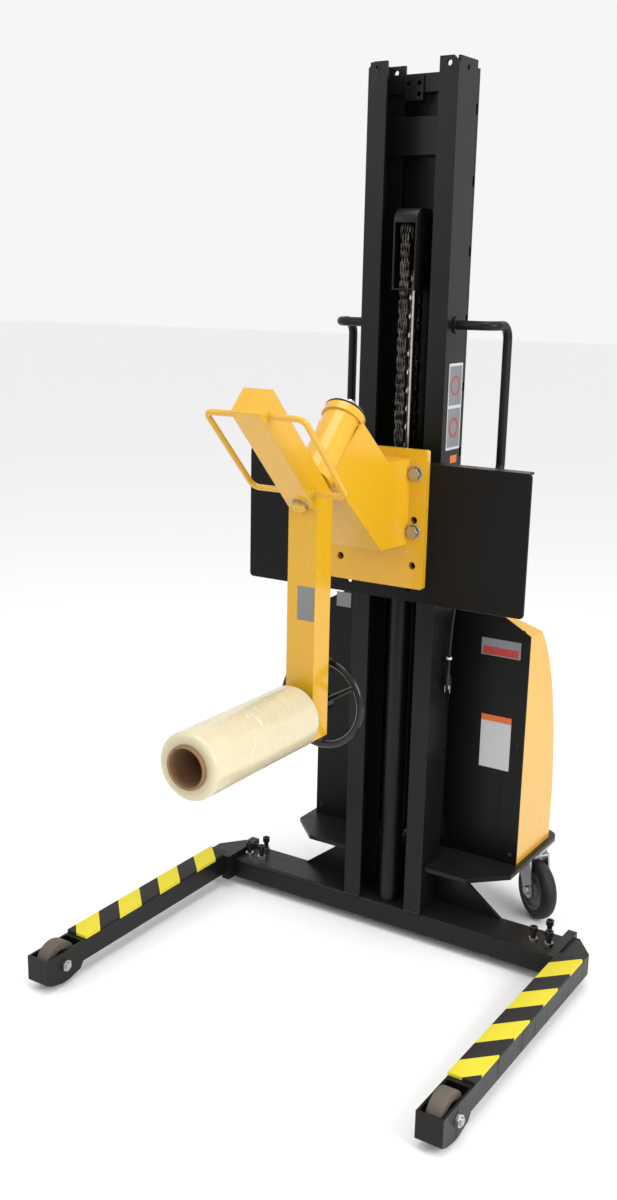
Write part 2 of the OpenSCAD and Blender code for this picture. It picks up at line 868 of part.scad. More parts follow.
module bracket_bolts() {
    color(zinc) row() for (x = [-bolt_x, bolt_x], z = bolt_rows) {
        rod_y(8, plate_front - bracket_t - 1, plate_back + 18, x, z);
        translate([x, plate_front - bracket_t, z]) rotate([90, 0, 0]) hex(bolt_af, 10);
        difference() {
            translate([x, plate_back, z]) rotate([-90, 0, 0]) hex(bolt_af, 13);
            rod_y(8 + fit, plate_back - 1, plate_back + 14, x, z);
        }
    }
}

/* Swing arm */

// The arm's side outline: it hangs straight, then leans forward at 45 degrees
function arm_outline(inset) = let (
        mitre = tan(22.5) * arm_d,
        lean = slant_len - inset,
        depth = arm_d - inset)
    [
        [arm_front + inset, arm_z + inset],
        [arm_front + inset, bend_z + inset * tan(22.5)],
        [arm_front + inset / root2 - lean / root2, bend_z + inset / root2 + lean / root2],
        [arm_front + depth / root2 - lean / root2, bend_z + depth / root2 + lean / root2],
        [arm_rear - inset, bend_z + mitre - inset * tan(22.5)],
        [arm_rear - inset, arm_z + inset]];

module swing_arm() {
    half = arm_w / 2;
    wall = 5;
    color(yellow) row() difference() {
        union() {
            difference() {
                side_outline(arm_outline(0), -half, half);
                side_outline(arm_outline(wall), -half + wall, half - wall);
            }
            rod_y(hub_r, arm_front - 4, arm_rear + 4, 0, roll_z);
            on_pivot() cylinder(r = stud_d / 2 + 6, h = arm_d);
        }
        rod_y(shaft_r + fit, arm_front - 5, arm_rear + 5, 0, roll_z);
        on_pivot() translate([0, 0, -20]) cylinder(r = stud_d / 2 + 0.1, h = arm_d + 22);
    }
}

// One hand loop: a round rod bent twice, with both ends on the arm's side
module hand_loop() {
    r = loop_rod_d / 2;
    bend = 16;
    inner = arm_w / 2 + gap;
    depth = 15.6;
    rise = [-251, -21];
    on_pivot() translate([0, 0, depth]) {
        for (v = rise)
            translate([inner, v, 0]) rotate([0, 90, 0]) cylinder(r = r, h = loop_half - bend - inner);
        translate([loop_half, rise[0] + bend, 0]) rotate([-90, 0, 0])
            cylinder(r = r, h = rise[1] - rise[0] - 2 * bend);
        translate([loop_half - bend, rise[0] + bend, 0]) rotate([0, 0, -90])
            rotate_extrude(angle = 90) translate([bend, 0]) circle(r = r, $fn = 24);
        translate([loop_half - bend, rise[1] - bend, 0])
            rotate_extrude(angle = 90) translate([bend, 0]) circle(r = r, $fn = 24);
    }
}

module hand_loops() {
    color(yellow) row() both_sides() hand_loop();
}

module pivot_stud() {
    r = stud_d / 2;
    color(zinc) row() on_pivot() {
        translate([0, 0, -6]) cylinder(r = r, h = tube_end + 10);
        translate([0, 0, -12]) hex(22, 12);
        difference() {
            translate([0, 0, tube_end + gap]) cylinder(r = collar_d / 2 - 7, h = 4);
            translate([0, 0, tube_end]) cylinder(r = r - 0.5, h = 6);
        }
        translate([0, 0, tube_end + 4]) hex(36, 18);
        translate([0, 0, tube_end + 20]) cylinder(r = 11, h = 12);
    }
}

/* Mandrel and roll */

module mandrel() {
    bore = drawbar_r + fit;
    front = core_rear - mandrel_len;
    color(zinc) row() difference() {
        union() {
            rod_y(shaft_r, core_rear - 20, arm_rear + 12, 0, roll_z);
            rod_y(mandrel_r, front, core_rear - 6, 0, roll_z);
        }
        rod_y(mandrel_r - 5, front - 1, core_rear - 24, 0, roll_z);
        rod_y(bore, front - 1, arm_rear + 20, 0, roll_z);
    }
}

module grip_sleeves() {
    r = core_bore / 2 - 0.15;
    color(rubber) row() for (y = [core_rear - 70, core_rear - mandrel_len + 20]) difference() {
        rod_y(r, y, y + 30, 0, roll_z);
        rod_y(mandrel_r + fit, y - 1, y + 31, 0, roll_z);
    }
}

module stop_flange() {
    color(black) row() difference() {
        rod_y(core_d / 2 + 3, core_rear + gap, arm_front - 4 - gap, 0, roll_z);
        rod_y(shaft_r + 0.1, core_rear - 1, arm_front, 0, roll_z);
    }
}

module roll_core() {
    color("tan") row() difference() {
        rod_y(core_d / 2, core_rear - core_len, core_rear, 0, roll_z);
        rod_y(core_bore / 2, core_rear - core_len - 1, core_rear + 1, 0, roll_z);
    }
}

module film_roll() {
    color("whitesmoke") row() difference() {
        rod_y(film_d / 2, film_rear - film_len, film_rear, 0, roll_z);
        rod_y(core_d / 2 + fit, film_rear - film_len - 1, film_rear + 1, 0, roll_z);
    }
}

module drawbar() {
    front = core_rear - mandrel_len;
    color(zinc) row() {
        rod_y(drawbar_r, front - 22, wheel_y + 22, 0, roll_z);
        translate([0, front - 6 - gap, roll_z]) rotate([-90, 0, 0]) difference() {
            cylinder(r = mandrel_r - 1, h = 6);
            translate([0, 0, -1]) cylinder(r = drawbar_r - 0.2, h = 8);
        }
        translate([0, front - 6 - gap, roll_z]) rotate([90, 0, 0]) hex(24, 10);
    }
}

module handwheel() {
    rim_r = 8;
    ring = handwheel_d / 2 - rim_r;
    color(rubber) row() translate([0, wheel_y, roll_z]) rotate([90, 0, 0]) difference() {
        union() {
            rotate_extrude($fn = 72) translate([ring, 0]) circle(r = rim_r, $fn = 32);
            translate([0, 0, -12]) cylinder(r = 21, h = 26);
            for (n = [0 : 2]) rotate([0, 0, 120 * n + 30]) translate([14, 0, 0]) rotate([0, 90, 0])
                cylinder(r = 6, h = ring - 14);
        }
        translate([0, 0, -30]) cylinder(r = drawbar_r + fit, h = 60);
    }
}

/* Handles and controls */

handle_r = 10;
handle_bend = 30;
handle_x = mast_half + 88;
handle_y = [42, 118];
handle_z = [1120, 1448];

// Quarter of a ring in the handle's tube, in the local XY plane
module handle_quarter(start) {
    rotate([0, 0, start]) rotate_extrude(angle = 90)
        translate([handle_bend, 0]) circle(r = handle_r, $fn = 32);
}

// A tube that runs out from an upright, back, down, and in again to the same upright
module push_handle() {
    near = handle_y[0] + handle_bend;
    far = handle_y[1] - handle_bend;
    for (z = handle_z) {
        rod_x(handle_r, mast_half + gap, handle_x - handle_bend, handle_y[0], z);
        translate([handle_x - handle_bend, near, z]) handle_quarter(-90);
        rod_y(handle_r, near, far, handle_x, z);
        rod_x(18, mast_half + gap, mast_half + 4, handle_y[0], z);
    }
    translate([handle_x, far, handle_z[1] - handle_bend]) rotate([90, 0, 90]) handle_quarter(0);
    translate([handle_x, far, handle_z[0] + handle_bend]) rotate([90, 0, 90]) handle_quarter(-90);
    translate([handle_x, handle_y[1], handle_z[0] + handle_bend])
        cylinder(r = handle_r, h = handle_z[1] - handle_z[0] - 2 * handle_bend);
}

module push_handles() {
    color(black) row() both_sides() push_handle();
}

control_y = back_y + back_depth + gap;
control_z = 1060;
lever_pivot = [0, control_y + 30, control_z + 90];

module control_box() {
    color(black) row() difference() {
        span([-60, control_y, control_z], [60, control_y + 60, control_z + 160]);
        span([-9, lever_pivot[1] - 20, lever_pivot[2] - 18], [9, control_y + 61, lever_pivot[2] + 18]);
        rod_x(4.05, -30, 30, lever_pivot[1], lever_pivot[2]);
        rod_y(7, control_y + 40, control_y + 61, 0, control_z + 30);
    }
}

module lift_lever() {
    p = lever_pivot;
    color("red") row() {
        rod_x(4, -20, 20, p[1], p[2]);
        rod_x(11, -8, 8, p[1], p[2]);
        rod_y(5, p[1] + 6, p[1] + 70, 0, p[2]);
        translate([0, p[1] + 78, p[2]]) sphere(r = 13);
    }
}

module stop_button() {
    color("red") row() {
        rod_y(7 - fit, control_y + 46, control_y + 72, 0, control_z + 30);
        rod_y(18, control_y + 68, control_y + 80, 0, control_z + 30);
    }
}

/* Mains cord */

function unit(v) = v / norm(v);
// Direction of the route at point n
function along(route, n) = unit(route[min(n + 1, len(route) - 1)] - route[max(n - 1, 0)]);
// One ring of a swept tube: sides points round point n of the route
function ring(route, n, r, sides) = let (
        d = along(route, n),
        u = unit(cross(d, [0.31, 0.95, 0.11])),
        v = cross(d, u))
    [for (k = [0 : sides - 1]) route[n] + r * (cos(360 * k / sides) * u + sin(360 * k / sides) * v)];
// The route with a point added between each pair, on a smooth curve
function halfway(route, n) = let (last = len(route) - 1)
    (9 * (route[n] + route[n + 1]) - route[max(n - 1, 0)] - route[min(n + 2, last)]) / 16;
function refine(route) = concat(
    [for (n = [0 : len(route) - 2], h = [0, 1]) h == 0 ? route[n] : halfway(route, n)],
    [route[len(route) - 1]]);

module tube_along(route, r, sides) {
    rings = len(route);
    points = [for (n = [0 : rings - 1]) each ring(route, n, r, sides)];
    walls = [for (n = [0 : rings - 2], k = [0 : sides - 1]) let (a = n * sides, b = (k + 1) % sides)
        [a + k, a + b, a + sides + b, a + sides + k]];
    ends = [[for (k = [sides - 1 : -1 : 0]) k], [for (k = [0 : sides - 1]) (rings - 1) * sides + k]];
    polyhedron(points, concat(walls, ends));
}

module power_cord() {
    color(rubber) row() {
        tube_along(refine(cord_in), cord_d / 2, 8);
        tube_along(refine(cord_out), cord_d / 2, 8);
    }
}

module cord_hank() {
    end_r = hank_w / 2 - 0.5;
    length = hank_z[1] - hank_z[0];
    color(rubber) row() translate([hank_x, mast_depth / 2, hank_z[0] + length / 2]) rotate([0, 90, 0])
        linear_extrude(3 * cord_d, center = true) difference() {
            round_rect(length, hank_w, end_r);
            round_rect(length - 2 * cord_d, hank_w - 2 * cord_d, end_r - cord_d);
        }
}

module cord_hook() {
    r = 6;
    color(black) row()
        rod_x(r, mast_half + gap, hank_x + 2 * cord_d + 8, mast_depth / 2, hank_z[1] - cord_d - r - gap);
}

module power_plug() {
    p = plug_top;
    color(rubber) row() {
        translate([p[0], p[1], p[2] - 14]) cylinder(r1 = 9, r2 = 5, h = 14, $fn = 16);
        span([p[0] - 13, p[1] - 9, p[2] - 40], [p[0] + 13, p[1] + 9, p[2] - 14]);
        for (x = [-7, 7]) span([p[0] + x - 1, p[1] - 3.2, p[2] - 57], [p[0] + x + 1, p[1] + 3.2, p[2] - 40]);
    }
}

module cord_tie() {
    p = plug_top;
    color("white") row() difference() {
        translate([p[0], p[1], p[2] + 24]) cylinder(r = cord_d / 2 + 2.5, h = 5);
        translate([p[0], p[1], p[2] + 23]) cylinder(r = cord_d / 2 + 0.3, h = 7);
    }
}

module cord_gland() {
    color(rubber) row() translate([cord_in[0][0], cord_in[0][1], cab_top - 30]) {
        cylinder(r = 7.8, h = cord_in[0][2] - cab_top + 30 - gap);
    }
}

base_beam();
mast_left();
mast_right();
mast_back_panel();
mast_top_tie();
deck_plate();
deck_brace();
front_panel();
cabinet_hood();
battery();
pump_unit();
charger();
lift_cylinder();
cylinder_head();
chain_rear();
push_handles();
clamp_screws();
clamp_nuts();
caster_plates();
cord_gland();
cord_hook();
power_cord();
cord_hank();
power_plug();
cord_tie();
control_box();
lift_lever();
stop_button();
piston_rod();
sheave_yoke();
sheave_cover();
chain_wrap();
chain_sheave();
carriage_plate();
carriage_frame();
chain_front();
pivot_bracket();
bracket_bolts();
upper_rollers();
lower_rollers();
swing_arm();
hand_loops();
pivot_stud();
mandrel();
grip_sleeves();
stop_flange();
roll_core();
film_roll();
handwheel();
drawbar();
leg_left();
leg_right();
load_axle_left();
load_axle_right();
load_wheel_left();
load_wheel_right();
caster_fork_left();
caster_fork_right();
caster_wheel_left();
caster_wheel_right();
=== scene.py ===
"""Looks of the narrow-mast stacker with its stretch film arm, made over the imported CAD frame."""

from __future__ import annotations

import json
import logging
import math
from dataclasses import dataclass
from enum import Enum
from typing import Callable, Iterable, Sequence

import bpy
from mathutils import Matrix, Vector


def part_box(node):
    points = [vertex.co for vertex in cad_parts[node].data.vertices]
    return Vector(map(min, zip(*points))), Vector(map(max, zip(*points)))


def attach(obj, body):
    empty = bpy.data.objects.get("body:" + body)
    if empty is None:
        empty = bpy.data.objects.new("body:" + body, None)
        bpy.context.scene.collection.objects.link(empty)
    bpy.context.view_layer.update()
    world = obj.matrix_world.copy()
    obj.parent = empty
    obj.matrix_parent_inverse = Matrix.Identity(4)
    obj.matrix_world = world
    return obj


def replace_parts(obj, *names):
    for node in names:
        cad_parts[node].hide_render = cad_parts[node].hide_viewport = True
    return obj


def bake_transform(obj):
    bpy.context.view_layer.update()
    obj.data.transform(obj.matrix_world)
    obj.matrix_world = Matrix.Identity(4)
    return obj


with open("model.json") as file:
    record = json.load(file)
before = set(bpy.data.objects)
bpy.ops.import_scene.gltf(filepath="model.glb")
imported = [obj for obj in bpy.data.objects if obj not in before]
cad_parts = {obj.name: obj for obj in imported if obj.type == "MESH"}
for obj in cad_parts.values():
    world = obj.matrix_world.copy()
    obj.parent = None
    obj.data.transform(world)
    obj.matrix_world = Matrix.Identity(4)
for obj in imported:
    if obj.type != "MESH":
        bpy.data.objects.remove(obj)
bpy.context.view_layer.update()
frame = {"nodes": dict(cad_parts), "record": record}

LOG = logging.getLogger("stacker")
Triple = tuple[float, float, float]
Colour = tuple[float, float, float, float]


class Along(Enum):
    """Which way the axis of a turned piece points."""

    X = Vector((1.0, 0.0, 0.0))
    Y = Vector((0.0, 1.0, 0.0))
    DOWN = Vector((0.0, 0.0, -1.0))
    FRONT = Vector((0.0, -1.0, 0.0))


class Side(Enum):
    """The machine's two sides, as the sign of X."""

    LEFT = -1
    RIGHT = 1

    @property
    def word(self) -> str:
        """The side's name as it stands in the names of bodies."""
        return self.name.lower()


def turn_to(direction: Vector) -> Matrix:
    """Gives the turn that lays a piece's own Z axis along a direction.

    Args:
        direction: Where the piece's Z axis is to point.

    Returns:
        A 4 by 4 rotation.
    """
    return Vector((0.0, 0.0, 1.0)).rotation_difference(direction).to_matrix().to_4x4()


class Bench:
    """The maker's bench: each method is one modelling step made with Blender's own operators."""

    @staticmethod
    def clear() -> None:
        """Leaves edit mode and deselects every object."""
        if bpy.context.object and bpy.context.object.mode != "OBJECT":
            bpy.ops.object.mode_set(mode="OBJECT")
        bpy.ops.object.select_all(action="DESELECT")

    @staticmethod
    def only(obj: bpy.types.Object) -> None:
        """Makes one object the only selected and active one."""
        Bench.clear()
        obj.select_set(True)
        bpy.context.view_layer.objects.active = obj

    @staticmethod
    def settle(obj: bpy.types.Object, place: Matrix | None = None) -> bpy.types.Object:
        """Moves an object's place into its mesh.

        Args:
            obj: The piece.
            place: A further move that is put on first.

        Returns:
            The same piece, at the origin, unturned and unscaled.
        """
        if place is not None:
            obj.matrix_world = place @ obj.matrix_world
        Bench.only(obj)
        bpy.ops.object.transform_apply(location=True, rotation=True, scale=True)
        return obj

    @staticmethod
    def named(name: str) -> bpy.types.Object:
        """Names the primitive that was just added, and its mesh."""
        obj = bpy.context.object
        obj.name = obj.data.name = name
        return obj

    @staticmethod
    def block(name: str, low: Triple, high: Triple) -> bpy.types.Object:
        """Adds a block between two corners, as the start of a piece.

        Args:
            name: Name of the piece.
            low: Lowest corner, in metres.
            high: Highest corner, in metres.

        Returns:
            The new object.
        """
        Bench.clear()
        middle = [(a + b) / 2 for a, b in zip(low, high)]
        bpy.ops.mesh.primitive_cube_add(size=1.0, location=middle)
        obj = Bench.named(name)
        obj.scale = [b - a for a, b in zip(low, high)]
        return Bench.settle(obj)

    @staticmethod
    def pick(obj: bpy.types.Object, test: Callable[[Vector, Vector], bool]) -> None:
        """Opens a piece in edit mode with some of its faces selected.

        Args:
            obj: The piece.
            test: Takes a face's centre and normal, and says whether it is wanted.
        """
        Bench.only(obj)
        bpy.ops.object.mode_set(mode="EDIT")
        bpy.ops.mesh.select_mode(type="FACE")
        bpy.ops.mesh.select_all(action="DESELECT")
        bpy.ops.object.mode_set(mode="OBJECT")
        for face in obj.data.polygons:
            face.select = test(face.center, face.normal)
        bpy.ops.object.mode_set(mode="EDIT")

    @staticmethod
    def round_edges(obj: bpy.types.Object, test: Callable[[Vector, Vector], bool], offset: float,
                    segments: int) -> None:
        """Rounds some of a piece's edges.

        Args:
            obj: The piece.
            test: Takes an edge's two ends, and says whether it is wanted.
            offset: How far the rounding reaches from the edge.
            segments: How many faces it has across it.
        """
        Bench.only(obj)
        bpy.ops.object.mode_set(mode="EDIT")
        bpy.ops.mesh.select_mode(type="EDGE")
        bpy.ops.mesh.select_all(action="DESELECT")
        bpy.ops.object.mode_set(mode="OBJECT")
        corners = obj.data.vertices
        for edge in obj.data.edges:
            edge.select = test(*(corners[number].co for number in edge.vertices))
        bpy.ops.object.mode_set(mode="EDIT")
        bpy.ops.mesh.bevel(offset=offset, segments=segments)
        bpy.ops.object.mode_set(mode="OBJECT")

    @staticmethod
    def soften(obj: bpy.types.Object, width: float, segments: int = 2) -> bpy.types.Object:
        """Rounds a piece's sharp edges with an applied bevel.

        Args:
            obj: The piece.
            width: Width of the bevel, in metres.
            segments: How many faces the bevel has across it.

        Returns:
            The same piece.
        """
        Bench.only(obj)
        bevel = obj.modifiers.new("soft_edges", "BEVEL")
        bevel.width, bevel.segments, bevel.limit_method = width, segments, "ANGLE"
        bevel.angle_limit = math.radians(35)
        bpy.ops.object.modifier_apply(modifier=bevel.name)
        return obj

    @staticmethod
    def turned(name: str, stations: Sequence[tuple[float, float]], segments: int, ring: bool = False,
               place: Matrix | None = None) -> bpy.types.Object:
        """Makes a turned piece by drawing a circle out and resizing it at each station.

        Args:
            name: Name of the piece.
            stations: Place along the axis and radius, in order, in metres.
            segments: How many sides the circle has.
            ring: True if the stations go round a closed profile, as on a tube or a tyre.
            place: Where the piece goes. Its own axis is Z.

        Returns:
            The new object.
        """
        Bench.clear()
        rows = list(stations) + ([stations[0]] if ring else [])
        here, radius = rows[0]
        bpy.ops.mesh.primitive_circle_add(
            vertices=segments, radius=radius, fill_type="NOTHING" if ring else "NGON", location=(0, 0, here))
        obj = Bench.settle(Bench.named(name))
        bpy.ops.object.mode_set(mode="EDIT")
        bpy.ops.mesh.select_mode(type="EDGE" if ring else "FACE")
        bpy.ops.mesh.select_all(action="SELECT")
        for place_now, wanted in rows[1:]:
            shift = {"value": (0.0, 0.0, place_now - here)}
            if ring:
                bpy.ops.mesh.extrude_edges_move(TRANSFORM_OT_translate=shift)
            else:
                bpy.ops.mesh.extrude_region_move(TRANSFORM_OT_translate=shift)
            grow = wanted / radius
            bpy.ops.transform.resize(value=(grow, grow, 1.0), center_override=(0, 0, 0))
            here, radius = place_now, wanted
        bpy.ops.mesh.select_all(action="SELECT")
        bpy.ops.mesh.remove_doubles(threshold=1e-6)
        bpy.ops.mesh.normals_make_consistent(inside=False)
        bpy.ops.object.mode_set(mode="OBJECT")
        return Bench.settle(obj, place)

    @staticmethod
    def copy(obj: bpy.types.Object, name: str, place: Matrix) -> bpy.types.Object:
        """Copies a piece, with a mesh of its own, to another place.

        Args:
            obj: The piece that was modelled.
            name: Name of the copy.
            place: Move from the first piece to the copy.

        Returns:
            The copy.
        """
        twin = obj.copy()
        twin.data = obj.data.copy()
        twin.name = twin.data.name = name
        bpy.context.scene.collection.objects.link(twin)
        return Bench.settle(twin, place)

    @staticmethod
    def join(name: str, parts: Sequence[bpy.types.Object]) -> bpy.types.Object:
        """Joins several objects into one piece.

        Args:
            name: Name of the piece.
            parts: What is joined.

        Returns:
            The joined piece.
        """
        Bench.only(parts[0])
        for part in parts:
            part.select_set(True)
        bpy.ops.object.join()
        return Bench.named(name)

    @staticmethod
    def finish(obj: bpy.types.Object, body: str | None, slot: str, paint: str = "",
               angle: float = 35.0) -> bpy.types.Object:
        """Turns a piece's normals out, smooths it, paints it and puts it on its body.

        Args:
            obj: The piece.
            body: The body that it rides on, or None where it is blended later.
            slot: The material slot in the record.
            paint: Name of its finish, where that isn't the slot's own.
            angle: Edges sharper than this stay sharp, in degrees.

        Returns:
            The same piece.
        """
        Bench.only(obj)
        bpy.ops.object.mode_set(mode="EDIT")
        bpy.ops.mesh.select_all(action="SELECT")
        bpy.ops.mesh.normals_make_consistent(inside=False)
        bpy.ops.object.mode_set(mode="OBJECT")
        bpy.ops.object.shade_smooth_by_angle(angle=math.radians(angle))
        obj.data.materials.clear()
        obj.data.materials.append(Paints.get(paint or slot))
        if body:
            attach(obj, body)
        LOG.info("%s: %d faces", obj.name, len(obj.data.polygons))
        return obj


class Board:
    """A node tree that is being wired."""

    def __init__(self, tree: bpy.types.NodeTree) -> None:
        """Starts on a tree.

        Args:
            tree: The tree of a material or a group.
        """
        self.tree = tree

    def add(self, kind: str, **settings: object) -> bpy.types.Node:
        """Adds a node.

        Args:
            kind: The node's type.
            **settings: Properties to set on it.

        Returns:
            The new node.
        """
        node = self.tree.nodes.new(kind)
        for key, value in settings.items():
            setattr(node, key, value)
        return node

    def join(self, start: bpy.types.NodeSocket, end: bpy.types.NodeSocket) -> None:
        """Links one socket to another."""
        self.tree.links.new(start, end)

    def feed(self, value: object, end: bpy.types.NodeSocket) -> None:
        """Gives an input its value, from a socket or a number."""
        if isinstance(value, bpy.types.NodeSocket):
            self.join(value, end)
        else:
            end.default_value = value

    def sum(self, operation: str, first: object, second: object = 0.0,
            clamp: bool = False) -> bpy.types.NodeSocket:
        """Adds a Math node.

        Args:
            operation: What it works out.
            first: A socket or a number.
            second: A socket or a number.
            clamp: Whether the result stays within 0 and 1.

        Returns:
            Its output.
        """
        node = self.add("ShaderNodeMath", operation=operation, use_clamp=clamp)
        for place, value in enumerate((first, second)):
            self.feed(value, node.inputs[place])
        return node.outputs[0]

    def mix(self, mask: object, first: object, second: object) -> bpy.types.NodeSocket:
        """Mixes two colours.

        Args:
            mask: How much of the second shows, a socket or a number.
            first: A colour or a socket.
            second: A colour or a socket.

        Returns:
            The mixed colour.
        """
        node = self.add("ShaderNodeMix", data_type="RGBA")
        for place, value in ((0, mask), (6, first), (7, second)):
            self.feed(value, node.inputs[place])
        return node.outputs[2]

    def noise(self, scale: object, stretch: Triple = (1, 1, 1), detail: float = 4.0,
              turn: Triple = (0, 0, 0)) -> bpy.types.NodeSocket:
        """Adds a noise pattern on the piece's own coordinates.

        Args:
            scale: Size of the pattern, larger is finer, a socket or a number.
            stretch: How much the pattern is packed along each axis.
            detail: How many finer layers it has.
            turn: How the pattern is turned, in radians.

        Returns:
            The noise value.
        """
        where = self.add("ShaderNodeTexCoord")
        mapping = self.add("ShaderNodeMapping")
        mapping.inputs["Scale"].default_value = stretch
        mapping.inputs["Rotation"].default_value = turn
        pattern = self.add("ShaderNodeTexNoise")
        self.feed(scale, pattern.inputs["Scale"])
        pattern.inputs["Detail"].default_value = detail
        self.join(where.outputs["Object"], mapping.inputs["Vector"])
        self.join(mapping.outputs["Vector"], pattern.inputs["Vector"])
        return pattern.outputs["Fac"]


class Effects:
    """Shader node groups that several finishes share, each built once."""

    made: dict[str, bpy.types.NodeTree] = {}

    @classmethod
    def start(cls, name: str, inputs: Iterable[tuple[str, float]],
              output: str) -> tuple[Board, bpy.types.Node, bpy.types.Node]:
        """Starts a group with its named sockets.

        Args:
            name: Name of the group.
            inputs: Name and first value of each input.
            output: Name of the one output.

        Returns:
            The board, the group's input node and its output node.
        """
        tree = bpy.data.node_groups.new(name, "ShaderNodeTree")
        for word, value in inputs:
            socket = tree.interface.new_socket(word, in_out="INPUT", socket_type="NodeSocketFloat")
            socket.default_value = value
        tree.interface.new_socket(output, in_out="OUTPUT", socket_type="NodeSocketFloat")
        cls.made[name] = tree
        board = Board(tree)
        return board, board.add("NodeGroupInput"), board.add("NodeGroupOutput")

    @classmethod
    def edge_wear(cls) -> bpy.types.NodeTree:
        """A mask of the edges where paint has rubbed thin."""
        if "edge_wear" in cls.made:
            return cls.made["edge_wear"]
        board, given, out = cls.start("edge_wear", (("Width", 0.002), ("Amount", 0.5), ("Scale", 60.0)), "Mask")
        bevel = board.add("ShaderNodeBevel", samples=4)
        board.join(given.outputs["Width"], bevel.inputs["Radius"])
        shape = board.add("ShaderNodeNewGeometry")
        facing = board.add("ShaderNodeVectorMath", operation="DOT_PRODUCT")
        board.join(bevel.outputs["Normal"], facing.inputs[0])
        board.join(shape.outputs["Normal"], facing.inputs[1])
        edge = board.sum("MULTIPLY", board.sum("SUBTRACT", 1.0, facing.outputs["Value"]), 9.0, clamp=True)
        pattern = board.noise(given.outputs["Scale"], detail=6.0)
        patchy = board.sum("MULTIPLY", board.sum("SUBTRACT", pattern, 0.42), 5.0, clamp=True)
        worn = board.sum("MULTIPLY", board.sum("MULTIPLY", edge, patchy), given.outputs["Amount"], clamp=True)
        board.join(worn, out.inputs["Mask"])
        return cls.made["edge_wear"]

    @classmethod
    def dust(cls) -> bpy.types.NodeTree:
        """A mask of the thin dust that lies on faces that look up."""
        if "dust" in cls.made:
            return cls.made["dust"]
        board, given, out = cls.start("dust", (("Amount", 0.2), ("Scale", 9.0)), "Mask")
        shape = board.add("ShaderNodeNewGeometry")
        split = board.add("ShaderNodeSeparateXYZ")
        board.join(shape.outputs["Normal"], split.inputs[0])
        up = board.sum("POWER", board.sum("MAXIMUM", split.outputs["Z"], 0.0), 3.0)
        pattern = board.noise(given.outputs["Scale"], detail=5.0)
        lying = board.sum("MULTIPLY", board.sum("MULTIPLY", up, pattern), given.outputs["Amount"])
        board.join(lying, out.inputs["Mask"])
        return cls.made["dust"]

    @classmethod
    def grain(cls) -> bpy.types.NodeTree:
        """The height of a fine skin, from orange peel on paint to the grain of a casting."""
        if "grain" in cls.made:
            return cls.made["grain"]
        board, given, out = cls.start("grain", (("Scale", 300.0), ("Coarse", 0.3)), "Height")
        fine = board.noise(given.outputs["Scale"], detail=3.0)
        coarse = board.noise(board.sum("MULTIPLY", given.outputs["Scale"], 0.12), detail=2.0)
        both = board.sum("ADD", fine, board.sum("MULTIPLY", coarse, given.outputs["Coarse"]))
        board.join(both, out.inputs["Height"])
        return cls.made["grain"]

    @classmethod
    def scratches(cls) -> bpy.types.NodeTree:
        """A mask of fine rubbed lines that run mostly up and down."""
        if "scratches" in cls.made:
            return cls.made["scratches"]
        board, given, out = cls.start("scratches", (("Amount", 0.3), ("Scale", 40.0)), "Mask")
        pattern = board.noise(given.outputs["Scale"], (1.0, 1.0, 0.05), 7.0, (0.08, 0.05, 0.0))
        line = board.sum("MULTIPLY", board.sum("SUBTRACT", pattern, 0.6), 9.0, clamp=True)
        board.join(board.sum("MULTIPLY", line, given.outputs["Amount"]), out.inputs["Mask"])
        return cls.made["scratches"]

    @staticmethod
    def place(board: Board, tree: bpy.types.NodeTree, **values: float) -> bpy.types.NodeSocket:
        """Places a group in a material with values of its own.

        Args:
            board: The material's board.
            tree: The group.
            **values: The group's inputs.

        Returns:
            The group's output.
        """
        node = board.add("ShaderNodeGroup", node_tree=tree)
        for word, value in values.items():
            node.inputs[word].default_value = value
        return node.outputs[0]


